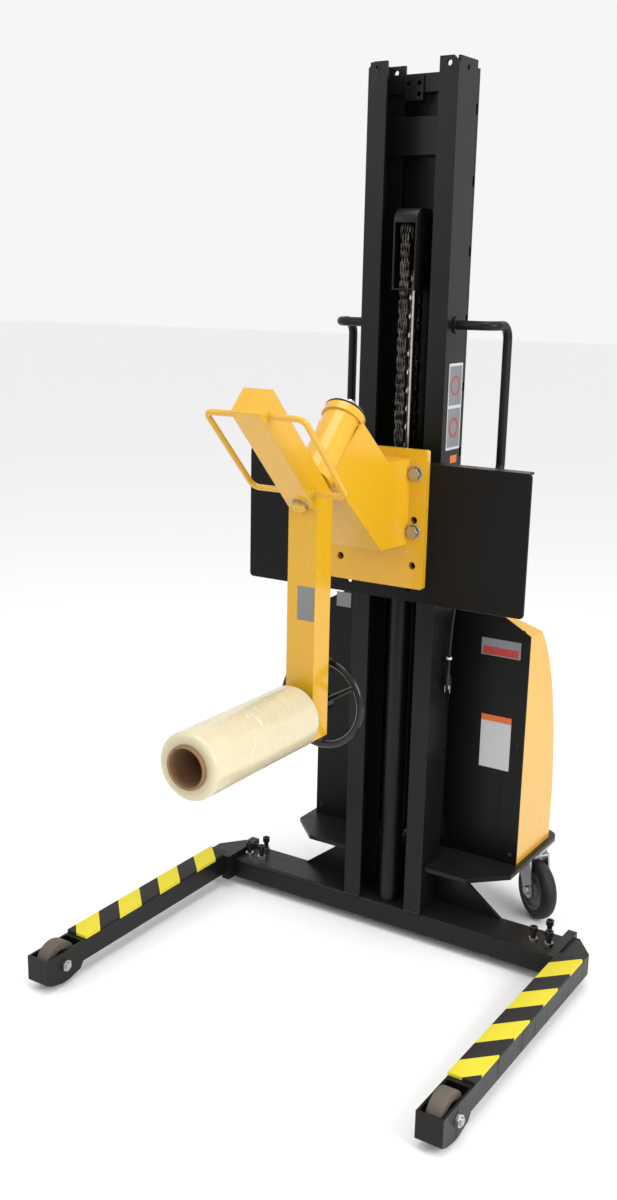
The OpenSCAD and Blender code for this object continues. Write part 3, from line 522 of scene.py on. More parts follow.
@dataclass(frozen=True)
class Finish:
    """A surface finish: its colour, its gloss, its skin and how it has aged.

    Attributes:
        name: Name of the material.
        colour: Base colour.
        aged: Colour that shows where an edge has rubbed.
        roughness: How dull it is, from 0 to 1.
        metallic: 1 on bare metal.
        coat: Weight of a clear gloss over it.
        skin_scale: Size of its fine skin, larger is finer.
        skin_height: How deep the skin is, in metres.
        wear: How far its edges have rubbed.
        dust: How much dust lies on it.
        uneven: How much its colour varies.
        rounding: Radius that its edges seem to have, in metres.
        stretch: How the colour's variation is packed along each axis.
        subsurface: How far light goes into it.
        shine: How strongly it mirrors its surroundings.
    """

    name: str
    colour: Triple
    aged: Triple
    roughness: float
    metallic: float = 0.0
    coat: float = 0.0
    skin_scale: float = 300.0
    skin_height: float = 0.0001
    wear: float = 0.3
    dust: float = 0.1
    uneven: float = 0.25
    rounding: float = 0.0012
    stretch: Triple = (1.0, 1.0, 1.0)
    subsurface: float = 0.0
    shine: float = 0.5

    def base(self, board: Board) -> bpy.types.NodeSocket:
        """Works out the colour before wear and dust."""
        dark = tuple(c * (1.0 - self.uneven) for c in self.colour) + (1.0,)
        return board.mix(board.noise(7.0, self.stretch, 6.0), dark, self.colour + (1.0,))

    def height(self, board: Board) -> bpy.types.NodeSocket:
        """Works out the height of the skin."""
        return Effects.place(board, Effects.grain(), Scale=self.skin_scale, Coarse=0.6)

    def build(self) -> bpy.types.Material:
        """Makes the material.

        Returns:
            The new material.
        """
        material = bpy.data.materials.new(self.name)
        material.use_nodes = True
        board = Board(material.node_tree)
        shader = material.node_tree.nodes["Principled BSDF"]
        worn = Effects.place(board, Effects.edge_wear(), Width=0.0022, Amount=self.wear, Scale=70.0)
        dusty = Effects.place(board, Effects.dust(), Amount=self.dust, Scale=9.0)
        rubbed = Effects.place(board, Effects.scratches(), Amount=0.18, Scale=45.0)
        colour = board.mix(worn, self.base(board), self.aged + (1.0,))
        colour = board.mix(dusty, colour, (0.42, 0.40, 0.37, 1.0))
        board.join(colour, shader.inputs["Base Color"])
        rough = board.sum("ADD", self.roughness - 0.06, board.sum("MULTIPLY", board.noise(18.0), 0.12))
        rough = board.sum("ADD", rough, board.sum("MULTIPLY", dusty, 0.5))
        board.join(board.sum("ADD", rough, rubbed, clamp=True), shader.inputs["Roughness"])
        shader.inputs["Metallic"].default_value = self.metallic
        shader.inputs["Specular IOR Level"].default_value = self.shine
        shader.inputs["Coat Weight"].default_value = self.coat
        shader.inputs["Coat Roughness"].default_value = 0.12
        shader.inputs["Subsurface Weight"].default_value = self.subsurface
        shader.inputs["Subsurface Radius"].default_value = (0.02, 0.014, 0.008)
        bevel = board.add("ShaderNodeBevel", samples=4)
        bevel.inputs["Radius"].default_value = self.rounding
        bump = board.add("ShaderNodeBump")
        bump.inputs["Strength"].default_value = 0.5
        bump.inputs["Distance"].default_value = self.skin_height
        board.join(bevel.outputs["Normal"], bump.inputs["Normal"])
        board.join(self.height(board), bump.inputs["Height"])
        board.join(bump.outputs["Normal"], shader.inputs["Normal"])
        return material


@dataclass(frozen=True)
class StretchFilm(Finish):
    """Wound film: cream, with painted highlight streaks along the wrinkles that run round the roll."""

    def height(self, board: Board) -> bpy.types.NodeSocket:
        """Wrinkles that run round the roll, broken by long soft bands."""
        fine = board.noise(26.0, (1.0, 7.0, 1.0), 5.0)
        patch = board.sum("MULTIPLY", board.sum("SUBTRACT", board.noise(7.0), 0.45), 4.0, clamp=True)
        return board.sum("ADD", board.sum("MULTIPLY", fine, patch), board.sum("MULTIPLY", board.noise(5.0), 0.4))

    def base(self, board: Board) -> bpy.types.NodeSocket:
        """Cream, with a painted highlight in pale streaks along the wrinkles."""
        line = board.sum("MULTIPLY", board.sum("SUBTRACT", board.noise(30.0, (1.0, 5.0, 1.0), 8.0), 0.60), 9.0,
                         clamp=True)
        patch = board.sum("MULTIPLY", board.sum("SUBTRACT", board.noise(6.0), 0.50), 7.0, clamp=True)
        # Painted highlight: the cream is lightened towards (0.84, 0.83, 0.78) in streaks along the wrinkle lines.
        painted_highlight = board.sum("MULTIPLY", board.sum("MULTIPLY", line, patch), 0.8)
        return board.mix(painted_highlight, super().base(board), (0.84, 0.83, 0.78, 1.0))


@dataclass(frozen=True)
class Cardboard(Finish):
    """Wound cardboard: brown paper with the seam of its ply going round as it goes along."""

    lead: float = 0.11

    def base(self, board: Board) -> bpy.types.NodeSocket:
        """Paper with one darker spiral line."""
        where = board.add("ShaderNodeTexCoord")
        mapping = board.add("ShaderNodeMapping")
        mapping.inputs["Location"].default_value = (0.0, 0.0, -0.669)
        split = board.add("ShaderNodeSeparateXYZ")
        board.join(where.outputs["Object"], mapping.inputs["Vector"])
        board.join(mapping.outputs["Vector"], split.inputs[0])
        turn = board.sum("DIVIDE", board.sum("ARCTAN2", split.outputs["Z"], split.outputs["X"]), math.tau)
        along = board.sum("ADD", board.sum("DIVIDE", split.outputs["Y"], self.lead), turn)
        line = board.sum("LESS_THAN", board.sum("FRACT", board.sum("ADD", along, 50.0)), 0.035)
        return board.mix(board.sum("MULTIPLY", line, 0.6), super().base(board), (0.16, 0.09, 0.045, 1.0))


@dataclass(frozen=True)
class HazardTape(Finish):
    """Gritty dark tape with slanted yellow stripes, laid along the top of a leg."""

    outer: float = 0.512
    width: float = 0.057
    lean: float = 0.060
    pitch: float = 0.150
    share: float = 0.53
    first: float = 0.192
    stripe: Triple = (0.66, 0.56, 0.025)

    def base(self, board: Board) -> bpy.types.NodeSocket:
        """Dark grit crossed by the stripes."""
        where = board.add("ShaderNodeTexCoord")
        split = board.add("ShaderNodeSeparateXYZ")
        board.join(where.outputs["Object"], split.inputs[0])
        across = board.sum("DIVIDE", board.sum("SUBTRACT", self.outer, board.sum("ABSOLUTE", split.outputs["X"])),
                           self.width)
        along = board.sum("SUBTRACT", board.sum("SUBTRACT", self.first, split.outputs["Y"]),
                          board.sum("MULTIPLY", across, self.lean))
        phase = board.sum("FRACT", board.sum("ADD", board.sum("DIVIDE", along, self.pitch), 10.0))
        return board.mix(board.sum("LESS_THAN", phase, self.share), super().base(board), self.stripe + (1.0,))


ENAMEL: Triple = (0.64, 0.345, 0.010)
ENAMEL_RUBBED: Triple = (0.36, 0.20, 0.03)

PALETTE: dict[str, Finish] = {
    f.name: f for f in (
        Finish("black_paint", (0.006, 0.0058, 0.0055), (0.045, 0.043, 0.040), 0.36, wear=0.22, dust=0.03, shine=0.22),
        Finish("panel_paint", (0.0045, 0.0042, 0.0040), (0.050, 0.048, 0.045), 0.33, wear=0.45, dust=0.02,
               shine=0.16, rounding=0.0018),
        Finish("hood_paint", ENAMEL, ENAMEL_RUBBED, 0.30, coat=0.3, skin_scale=150.0, skin_height=0.00014, wear=0.12,
               dust=0.02, uneven=0.06, rounding=0.003),
        Finish("yellow_paint", ENAMEL, ENAMEL_RUBBED, 0.26, coat=0.35, skin_scale=130.0, skin_height=0.00016,
               wear=0.12, dust=0.02, uneven=0.06, rounding=0.0026),
        Finish("zinc", (0.52, 0.53, 0.54), (0.70, 0.70, 0.70), 0.28, metallic=1.0, uneven=0.3, dust=0.03),
        Finish("chrome", (0.62, 0.61, 0.60), (0.70, 0.70, 0.70), 0.24, metallic=1.0, uneven=0.05, wear=0.0, dust=0.0,
               skin_height=0.00001),
        Finish("chain_steel", (0.022, 0.017, 0.013), (0.30, 0.28, 0.25), 0.34, metallic=0.75, uneven=0.5, wear=0.8,
               shine=0.3),
        Finish("black_steel", (0.012, 0.012, 0.012), (0.12, 0.12, 0.12), 0.36, metallic=0.5, wear=0.4, shine=0.3),
        Finish("rubber", (0.007, 0.007, 0.007), (0.03, 0.03, 0.03), 0.50, skin_scale=600.0, skin_height=0.0002,
               wear=0.2, dust=0.05, shine=0.25),
        Finish("caster_rubber", (0.012, 0.011, 0.010), (0.05, 0.05, 0.045), 0.55, skin_scale=260.0,
               skin_height=0.0003, wear=0.3, dust=0.10, shine=0.3),
        Finish("load_tread", (0.115, 0.092, 0.074), (0.24, 0.20, 0.17), 0.55, skin_scale=220.0, skin_height=0.0003,
               wear=0.4, dust=0.12, uneven=0.4, shine=0.3),
        Cardboard("cardboard", (0.29, 0.17, 0.085), (0.44, 0.30, 0.18), 0.82, skin_scale=420.0, skin_height=0.0004,
                  wear=0.35, dust=0.0, uneven=0.3, stretch=(1.0, 5.0, 1.0), shine=0.2),
        StretchFilm("film", (0.63, 0.56, 0.37), (0.72, 0.68, 0.54), 0.24, coat=0.4, skin_height=0.00035, wear=0.1,
                    dust=0.0, uneven=0.14, stretch=(1.0, 3.0, 1.0), subsurface=0.25, rounding=0.003),
        Finish("handwheel_black", (0.005, 0.005, 0.005), (0.03, 0.03, 0.03), 0.20, coat=0.25, wear=0.1, dust=0.0,
               shine=0.3),
        Finish("aluminium", (0.50, 0.50, 0.51), (0.70, 0.70, 0.70), 0.34, metallic=1.0, uneven=0.15,
               stretch=(1.0, 12.0, 1.0)),
        Finish("red_plastic", (0.42, 0.015, 0.012), (0.50, 0.10, 0.08), 0.32, coat=0.2, wear=0.1),
        Finish("battery_case", (0.014, 0.014, 0.015), (0.06, 0.06, 0.06), 0.46, skin_scale=350.0,
               skin_height=0.0003, wear=0.2, shine=0.3),
        Finish("pump_grey", (0.13, 0.135, 0.14), (0.28, 0.28, 0.28), 0.42, wear=0.3),
        Finish("tie_white", (0.70, 0.70, 0.68), (0.80, 0.80, 0.78), 0.42, wear=0.1, dust=0.0),
        Finish("weld_black", (0.007, 0.007, 0.007), (0.05, 0.05, 0.05), 0.42, skin_scale=200.0, skin_height=0.0006,
               shine=0.3),
        Finish("label_silver", (0.22, 0.23, 0.24), (0.40, 0.40, 0.41), 0.38, metallic=0.4, uneven=0.2, wear=0.15),
        Finish("label_white", (0.50, 0.51, 0.52), (0.60, 0.60, 0.60), 0.45, uneven=0.08, wear=0.1, dust=0.0),
        Finish("label_orange", (0.62, 0.13, 0.015), (0.66, 0.26, 0.10), 0.42, uneven=0.08, wear=0.1, dust=0.0),
        HazardTape("hazard_tape", (0.012, 0.0115, 0.0105), (0.05, 0.048, 0.044), 0.70, skin_scale=900.0,
                   skin_height=0.0008, wear=0.35, dust=0.05, shine=0.25),
    )
}


class Paints:
    """The paint shelf: each finish is made once, when it is first asked for."""

    shelf: dict[str, bpy.types.Material] = {}

    @classmethod
    def get(cls, name: str) -> bpy.types.Material:
        """Gives the material of a finish.

        Args:
            name: Name of the finish.

        Returns:
            Its material.
        """
        if name not in cls.shelf:
            cls.shelf[name] = PALETTE[name].build()
        return cls.shelf[name]


@dataclass
class Studio:
    """The camera, the pale floor and the soft lights.

    Attributes:
        eye: Where the camera stands.
        yaw: How far it turns left of straight ahead, in degrees.
        pitch: How far it looks down, in degrees.
        roll: How far it leans, in degrees.
        lens: Focal length, in millimetres.
        shift: Sideways and upward shift of the lens.
    """

    eye: Triple = (1.3654, -2.3611, 1.5442)
    yaw: float = 33.70
    pitch: float = 14.96
    roll: float = 0.75
    lens: float = 38.98
    shift: tuple[float, float] = (0.0325, 0.0194)

    def camera(self) -> None:
        """Sets up the camera."""
        yaw, pitch, roll = (math.radians(a) for a in (self.yaw, self.pitch, self.roll))
        ahead = Vector((-math.sin(yaw) * math.cos(pitch), math.cos(yaw) * math.cos(pitch), -math.sin(pitch)))
        right = Vector((math.cos(yaw), math.sin(yaw), 0.0))
        up = right.cross(ahead)
        right, up = (right * math.cos(roll) + up * math.sin(roll), up * math.cos(roll) - right * math.sin(roll))
        data = bpy.data.cameras.new("view")
        data.lens, data.sensor_width, data.sensor_fit = self.lens, 36.0, "AUTO"
        data.shift_x, data.shift_y = self.shift
        camera = bpy.data.objects.new("view", data)
        turn = Matrix((right, up, -ahead)).transposed().to_4x4()
        camera.matrix_world = Matrix.Translation(self.eye) @ turn
        bpy.context.scene.collection.objects.link(camera)
        bpy.context.scene.camera = camera

    def floor(self) -> None:
        """Lays the floor and lights the air round it."""
        Bench.clear()
        bpy.ops.mesh.primitive_plane_add(size=60.0, location=(0, 0, -0.0005))
        floor = Bench.settle(Bench.named("studio_floor"))
        material = bpy.data.materials.new("pale_floor")
        material.use_nodes = True
        shader = material.node_tree.nodes["Principled BSDF"]
        shader.inputs["Base Color"].default_value = (0.93, 0.93, 0.93, 1.0)
        shader.inputs["Roughness"].default_value = 0.75
        floor.data.materials.append(material)
        world = bpy.data.worlds.new("studio_air")
        world.use_nodes = True
        air = world.node_tree.nodes["Background"]
        air.inputs["Color"].default_value = (0.95, 0.95, 0.955, 1.0)
        air.inputs["Strength"].default_value = 0.97
        bpy.context.scene.world = world
        bpy.context.scene.view_settings.view_transform = "Standard"

    def light(self, name: str, place: Triple, aim: Triple, size: float, power: float) -> None:
        """Hangs one soft light.

        Args:
            name: Name of the light.
            place: Where it hangs.
            aim: What it points at.
            size: Width of its square face, in metres.
            power: Its power, in watts.
        """
        data = bpy.data.lights.new(name, "AREA")
        data.shape, data.size, data.energy = "SQUARE", size, power
        lamp = bpy.data.objects.new(name, data)
        away = Vector(place) - Vector(aim)
        lamp.matrix_world = Matrix.Translation(place) @ turn_to(away.normalized())
        bpy.context.scene.collection.objects.link(lamp)

    def build(self) -> None:
        """Sets up the whole studio."""
        self.camera()
        self.floor()
        self.light("key_left", (-2.4, -2.6, 2.6), (0.0, -0.1, 0.9), 1.8, 22.0)
        self.light("fill_right", (3.2, -0.6, 2.2), (0.1, 0.1, 1.0), 1.6, 70.0)
        self.light("top", (0.2, -0.4, 4.2), (0.0, 0.0, 0.8), 2.4, 55.0)
        LOG.info("studio ready")


@dataclass
class MainsCord:
    """The mains cord: out of its gland, into a hank behind the lift plate, and down to its plug.

    Attributes:
        radius: Radius of the cord.
        length: Real length of the cord; not used.
        turn: Radius of the hank's two ends.
        middle: Y of the middle of the hank.
        low: Height of the lower ends' centres.
        high: Height of the upper ends' centres.
        lanes: X of each loop.
    """

    radius: float = 0.004
    length: float = 1.782
    turn: float = 0.031
    middle: float = 0.236
    low: float = 0.921
    high: float = 1.055
    lanes: tuple[float, float, float] = (0.126, 0.118, 0.110)

    def route_in(self) -> list[Triple]:
        """From the gland to the hank."""
        return [(.076, .382, .806), (.076, .381, .822), (.080, .374, .838), (.090, .358, .848), (.102, .340, .852),
                (.113, .322, .856), (.120, .305, .864), (.124, .288, .878), (.125, .276, .892), (.125, .270, .901)]

    def route_out(self) -> list[Triple]:
        """From the hank to the plug."""
        return [(.112, .255, .888), (.113, .268, .882), (.114, .277, .870), (.115, .280, .854), (.116, .278, .836),
                (.117, .272, .812), (.118, .265, .786), (.119, .258, .756), (.120, .253, .726), (.120, .252, .700),
                (.120, .252, .675)]

    def hank(self) -> list[Triple]:
        """Three loops that go up at the back, over, and down at the front."""
        points: list[Triple] = []
        rise = [self.low, self.low + 0.045, self.low + 0.09, self.high]
        for number, x in enumerate(self.lanes):
            last = number == len(self.lanes) - 1
            points += [(x, self.middle + self.turn, z) for z in rise]
            points += [(x, self.middle + self.turn * math.cos(a), self.high + self.turn * math.sin(a))
                       for a in (math.radians(d) for d in (30, 60, 90, 120, 150))]
            points += [(x, self.middle - self.turn, z) for z in reversed(rise)]
            if last:
                points += [(x, self.middle + self.turn * math.cos(a), self.low + self.turn * math.sin(a) - 0.0006)
                           for a in (math.radians(d) for d in (210, 240))]
                points.append((x + 0.0005, self.middle + 0.001, self.low - self.turn - 0.0015))
            else:
                following = self.lanes[number + 1]
                for degrees in (210, 240, 270, 300, 330):
                    a = math.radians(degrees)
                    share = max(0.0, (degrees - 270) / 90.0)
                    points.append((x + (following - x) * share, self.middle + self.turn * math.cos(a),
                                   self.low + self.turn * math.sin(a)))
        return points

    def cord(self) -> bpy.types.Object:
        """Draws the cord as one curve."""
        curve = bpy.data.curves.new("mains_cord", "CURVE")
        curve.dimensions, curve.bevel_depth, curve.bevel_resolution = "3D", self.radius, 4
        curve.use_fill_caps, curve.resolution_u = True, 6
        points = self.route_in() + self.hank() + self.route_out()
        spline = curve.splines.new("BEZIER")
        spline.bezier_points.add(len(points) - 1)
        for knot, place in zip(spline.bezier_points, points):
            knot.co = place
            knot.handle_left_type = knot.handle_right_type = "AUTO"
        obj = bpy.data.objects.new("mains_cord", curve)
        bpy.context.scene.collection.objects.link(obj)
        curve.materials.append(Paints.get("rubber"))
        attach(obj, "frame")
        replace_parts(obj, "power_cord", "cord_hank")
        return obj

    def plug(self) -> tuple[bpy.types.Object, bpy.types.Object]:
        """Makes the plug's moulded body and its three prongs."""
        low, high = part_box("power_plug")
        x, y = (low[0] + high[0]) / 2, (low[1] + high[1]) / 2
        top, foot = high[2], low[2] + 0.020
        half = 0.0085
        rows = [(0, .0046), (.003, .0060), (.005, .0048), (.008, .0064), (.010, .0052), (.014, .0085),
                (top - foot - .004, .0118), (top - foot - .0005, .0124), (top - foot, .0112)]
        body = Bench.turned("plug_body", rows, 28, place=Matrix.Translation((x, y, top)) @ turn_to(Along.DOWN.value)
                            @ Matrix.Diagonal((1.0, half / 0.0124, 1.0, 1.0)))
        Bench.finish(body, "frame", "rubber")
        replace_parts(body, "power_plug")
        blades = []
        for number, side in enumerate((-1, 1)):
            blade = Bench.block(f"blade_{number}", (x + side * .0062 - .0008, y - .0030, low[2] + .0004),
                                (x + side * .0062 + .0008, y + .0030, foot + .001))
            blades.append(Bench.soften(blade, 0.0006))
        pin = Bench.turned("earth_pin", [(0, .0022), (.012, .0022), (.0150, .0015), (.0158, .0006)], 16,
                           place=Matrix.Translation((x, y + .0048, foot + .001)) @ turn_to(Along.DOWN.value))
        prongs = Bench.finish(Bench.join("plug_prongs", blades + [pin]), "frame", "zinc")
        return body, prongs

    def relief(self) -> None:
        """Makes the tapered strain relief on the gland."""
        rows: list[tuple[float, float]] = [(0, .0072), (.001, .0078)]
        for step in range(5):
            at, size = .003 + step * .0044, .0074 - step * .0005
            rows += [(at, size), (at + .0022, size), (at + .0026, size - .0013), (at + .0040, size - .0014)]
        rows += [(.0262, .0050), (.0268, .0043)]
        piece = Bench.turned("strain_relief", rows, 24, place=Matrix.Translation((.076, .382, .8035)))
        Bench.finish(piece, "frame", "rubber")

    def build(self) -> None:
        """Makes the cord with all that is on it."""
        cord = self.cord()
        body, prongs = self.plug()
        self.relief()
        LOG.info("mains cord ready")


@dataclass
class LiftChain:
    """The leaf chain over the mast's sheave, in three runs.

    Attributes:
        pitch: Distance between pins.
        plate: Height of a plate.
        thick: Thickness of a plate.
        leaves: How many plates lie across it.
        front: Y of the run that carries the carriage.
        rear: Y of the run that is held by the mast.
        crown: Height of the sheave's axis.
    """

    pitch: float = 0.01905
    plate: float = 0.0158
    thick: float = 0.0027
    leaves: int = 7
    front: float = 0.195
    rear: float = 0.251
    crown: float = 1.640

    def link(self, name: str, odd: bool) -> bpy.types.Object:
        """Models the plates of one link with the pin at its foot, along Z from the origin.

        Args:
            name: Name of the link.
            odd: Whether it takes the odd or the even places across the chain.

        Returns:
            The link.
        """
        step = 0.0214 / self.leaves
        parts = []
        reach, half = self.pitch / 2 + self.plate / 2 - .0003, self.plate / 2
        first: bpy.types.Object | None = None
        for place in range(1 if odd else 0, self.leaves, 2):
            x = -0.0107 + step * (place + 0.5)
            if first is None:
                first = Bench.block(f"{name}_leaf", (x - self.thick / 2, -half, self.pitch / 2 - reach),
                                    (x + self.thick / 2, half, self.pitch / 2 + reach))
                Bench.round_edges(first, lambda a, b: abs(a.x - b.x) > self.thick * 0.9, half * 0.86, 3)
                parts.append(first)
                start = x
            else:
                parts.append(Bench.copy(first, f"{name}_leaf_{place}", Matrix.Translation((x - start, 0, 0))))
        pin = Bench.turned(f"{name}_pin", [(-.0105, .0024), (-.0100, .0029), (.0100, .0029), (.0105, .0024)], 8,
                           place=turn_to(Along.X.value))
        return Bench.join(name, parts + [pin])

    def run(self, name: str, places: Sequence[Matrix]) -> bpy.types.Object:
        """Lays links one after another.

        Args:
            name: Name of the run.
            places: Where each link goes.

        Returns:
            The run as one piece.
        """
        pair = [self.link(f"{name}_even", False), self.link(f"{name}_odd", True)]
        made = [Bench.copy(pair[n % 2], f"{name}_{n}", place) for n, place in enumerate(places)]
        for pattern in pair:
            bpy.data.objects.remove(pattern)
        return Bench.join(name, made)

    def straight(self, name: str, y: float, low: float, high: float) -> bpy.types.Object:
        """Lays a straight run upright between two heights."""
        count = int((high - low - self.plate) // self.pitch)
        step = (high - low - self.plate) / count
        places = [Matrix.Translation((0, y, low + self.plate / 2 + n * step)) for n in range(count)]
        return self.run(name, places)

    def build(self) -> None:
        """Makes the three runs."""
        front = Bench.finish(self.straight("chain_to_carriage", self.front, 1.150, self.crown), None, "chain_steel")
        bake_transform(front)
        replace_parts(front, "chain_front")
        rear = Bench.finish(self.straight("chain_to_mast", self.rear, 1.180, self.crown), None, "chain_steel")
        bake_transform(rear)
        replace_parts(rear, "chain_rear")
        middle, radius = (self.front + self.rear) / 2, (self.rear - self.front) / 2
        places = []
        for n in range(5):
            a = math.radians(4 + n * 36)
            start = Vector((0, middle - radius * math.cos(a), self.crown + radius * math.sin(a)))
            lean = Matrix.Rotation(-a - math.radians(16), 4, "X")
            places.append(Matrix.Translation(start) @ lean @ Matrix.Diagonal((1, .98, .86, 1)))
        wrap = Bench.finish(self.run("chain_over_sheave", places), "lift_head", "chain_steel")
        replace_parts(wrap, "chain_wrap")
        LOG.info("lift chain ready")


@dataclass
class FilmRoll:
    """The roll of stretch film on its cardboard core.

    Attributes:
        axis: Height of the roll's axis.
        bore: Radius of the core's bore.
        lip: Radius of the small rounding on the core's ends.
        round: Radius that the film's ends are rounded to.
    """

    axis: float = 0.669
    bore: float = 0.038
    lip: float = 0.0012
    round: float = 0.010

    def winding(self) -> None:
        """Makes the wound film."""
        low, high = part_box("film_roll")
        size, start, end, inner = (high[0] - low[0]) / 2, low[1], high[1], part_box("roll_core")[1][0] + .0002
        rows: list[tuple[float, float]] = [(.0016, inner), (.0016, inner + .006), (0.0004, inner + .012)]
        arc = [math.radians(d) for d in (0, 15, 30, 45, 60, 75, 90)]
        length = end - start
        rows += [(self.round * (1 - math.sin(a)), size - self.round * (1 - math.cos(a))) for a in reversed(arc)]
        count = 46
        for step in range(1, count):
            at = self.round + (length - 2 * self.round) * step / count
            rows.append((at, size - 0.0002 - 0.00008 * math.sin(step * 2.3) - 0.0001 * math.sin(step * 0.71)))
        rows += [(length - self.round * (1 - math.sin(a)), size - self.round * (1 - math.cos(a))) for a in arc]
        rows += [(length - .0004, inner + .012), (length - .0016, inner + .006), (length - .0016, inner)]
        place = Matrix.Translation((0, start, self.axis)) @ turn_to(Along.Y.value)
        film = Bench.turned("film_winding", rows, 128, ring=True, place=place)
        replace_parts(Bench.finish(film, "roll", "film", angle=50.0), "film_roll")

    def core(self) -> None:
        """Makes the cardboard core."""
        low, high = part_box("roll_core")
        outer, length, lip = (high[0] - low[0]) / 2, high[1] - low[1], self.lip
        rows = [(0, self.bore + lip), (0, outer - lip), (lip * .3, outer - lip * .3), (lip, outer)]
        rows += [(length * n / 6, outer) for n in range(1, 6)]
        rows += [(length - lip, outer), (length - lip * .3, outer - lip * .3), (length, outer - lip),
                 (length, self.bore + lip), (length - lip, self.bore), (lip, self.bore)]
        place = Matrix.Translation((0, low[1], self.axis)) @ turn_to(Along.Y.value)
        tube = Bench.turned("cardboard_core", rows, 96, ring=True, place=place)
        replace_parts(Bench.finish(tube, "roll", "cardboard"), "roll_core")

    def build(self) -> None:
        """Makes the core and the film."""
        self.core()
        self.winding()
        LOG.info("film roll ready")


@dataclass
class RunningGear:
    """The two load wheels in the legs' noses and the two swivel casters.

    Attributes:
        load_radius: Radius of a load wheel.
        load_half: Half the width of its tread.
        caster_radius: Radius of a caster wheel.
        caster_half: Half the width of its tyre.
        caster_axle: Direction of both casters' axles at rest.
    """

    load_radius: float = 0.050
    load_half: float = 0.017
    caster_radius: float = 0.075
    caster_half: float = 0.019
    caster_axle: Triple = (0.629320391, 0.777145961, 0.0)

    def load_wheel(self, side: Side) -> None:
        """Makes one load wheel: a moulded tread on a hub with two bearings."""
        low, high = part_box(f"load_wheel_{side.word}")
        middle = Vector([(a + b) / 2 for a, b in zip(low, high)])
        hub_half, r, h = (high[0] - low[0]) / 2, self.load_radius, self.load_half
        place = Matrix.Translation(middle) @ turn_to(Along.X.value)
        rows = [(-h, .0325), (-h, r - .004), (-h + .0012, r - .0012), (-h + .004, r), (-.005, r), (.005, r),
                (h - .004, r), (h - .0012, r - .0012), (h, r - .004), (h, .0325)]
        tread = Bench.turned(f"load_tread_{side.word}", rows, 72, ring=True, place=place)
        body = f"load_wheel_{side.word}"
        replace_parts(Bench.finish(tread, body, "load_tread"), body)
        rows = [(-h + .0006, .0322), (-h + .0006, .029), (-h + .004, .027), (-h + .005, .0195), (-h + .001, .0185),
                (-hub_half, .0165), (-hub_half, .0085), (hub_half, .0085), (hub_half, .0165), (h - .001, .0185),
                (h - .005, .0195), (h - .004, .027), (h - .0006, .029), (h - .0006, .0322)]
        hub = Bench.turned(f"load_hub_{side.word}", rows, 56, ring=True, place=place)
        Bench.finish(hub, body, "black_steel")

    def caster(self, side: Side) -> None:
        """Makes one caster wheel: a rounded tyre on a dished hub."""
        low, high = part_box(f"caster_wheel_{side.word}")
        middle = Vector([(a + b) / 2 for a, b in zip(low, high)])
        r, h = self.caster_radius, self.caster_half
        place = Matrix.Translation(middle) @ turn_to(Vector(self.caster_axle))
        bow = [(h * math.sin(math.radians(d)), r - .009 * (1 - math.cos(math.radians(d))) * 1.6)
               for d in (-70, -50, -30, -15, 0, 15, 30, 50, 70)]
        rows = [(-h, r - .024), (-h, r - .012)] + bow + [(h, r - .012), (h, r - .024)]
        tyre = Bench.turned(f"caster_tyre_{side.word}", rows, 88, ring=True, place=place)
        body = f"caster_wheel_{side.word}"
        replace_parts(Bench.finish(tyre, body, "caster_rubber"), body)
        rows = [(-h + .001, r - .0243), (-h + .001, r - .029), (-h + .007, r - .033), (-h + .007, .024),
                (-h - .001, .020), (-h - .001, .0085), (h + .001, .0085), (h + .001, .020), (h - .007, .024),
                (h - .007, r - .033), (h - .001, r - .029), (h - .001, r - .0243)]
        hub = Bench.turned(f"caster_hub_{side.word}", rows, 56, ring=True, place=place)
        Bench.finish(hub, body, "pump_grey")

    def build(self) -> None:
        """Makes all four wheels."""
        for side in Side:
            self.load_wheel(side)
            self.caster(side)
        LOG.info("wheels ready")


@dataclass
class LegTape:
    """The striped tape along the top of each leg.

    Attributes:
        inner: X of the leg's inner face.
        outer: X of its outer face.
        front: Y where the tape starts.
        rear: Y where it ends.
        top: Height of the leg's top.
        turned_down: How far the tape comes down each side.
    """

    inner: float = 0.455
    outer: float = 0.512
    front: float = -0.366
    rear: float = 0.188
    top: float = 0.088
    turned_down: float = 0.006

    def build(self) -> None:
        """Lays the tape on both legs."""
        for side in Side:
            ends = sorted((side.value * (self.inner - .0004), side.value * (self.outer + .0004)))
            tape = Bench.block(f"leg_tape_{side.word}", (ends[0], self.front, self.top - self.turned_down),
                               (ends[1], self.rear, self.top + .0005))
            Bench.pick(tape, lambda centre, normal: normal.z < -0.9)
            bpy.ops.mesh.delete(type="FACE")
            bpy.ops.object.mode_set(mode="OBJECT")
            Bench.soften(tape, 0.0010)
            Bench.finish(tape, f"leg_{side.word}", "black_paint", "hazard_tape")
        LOG.info("leg tape ready")


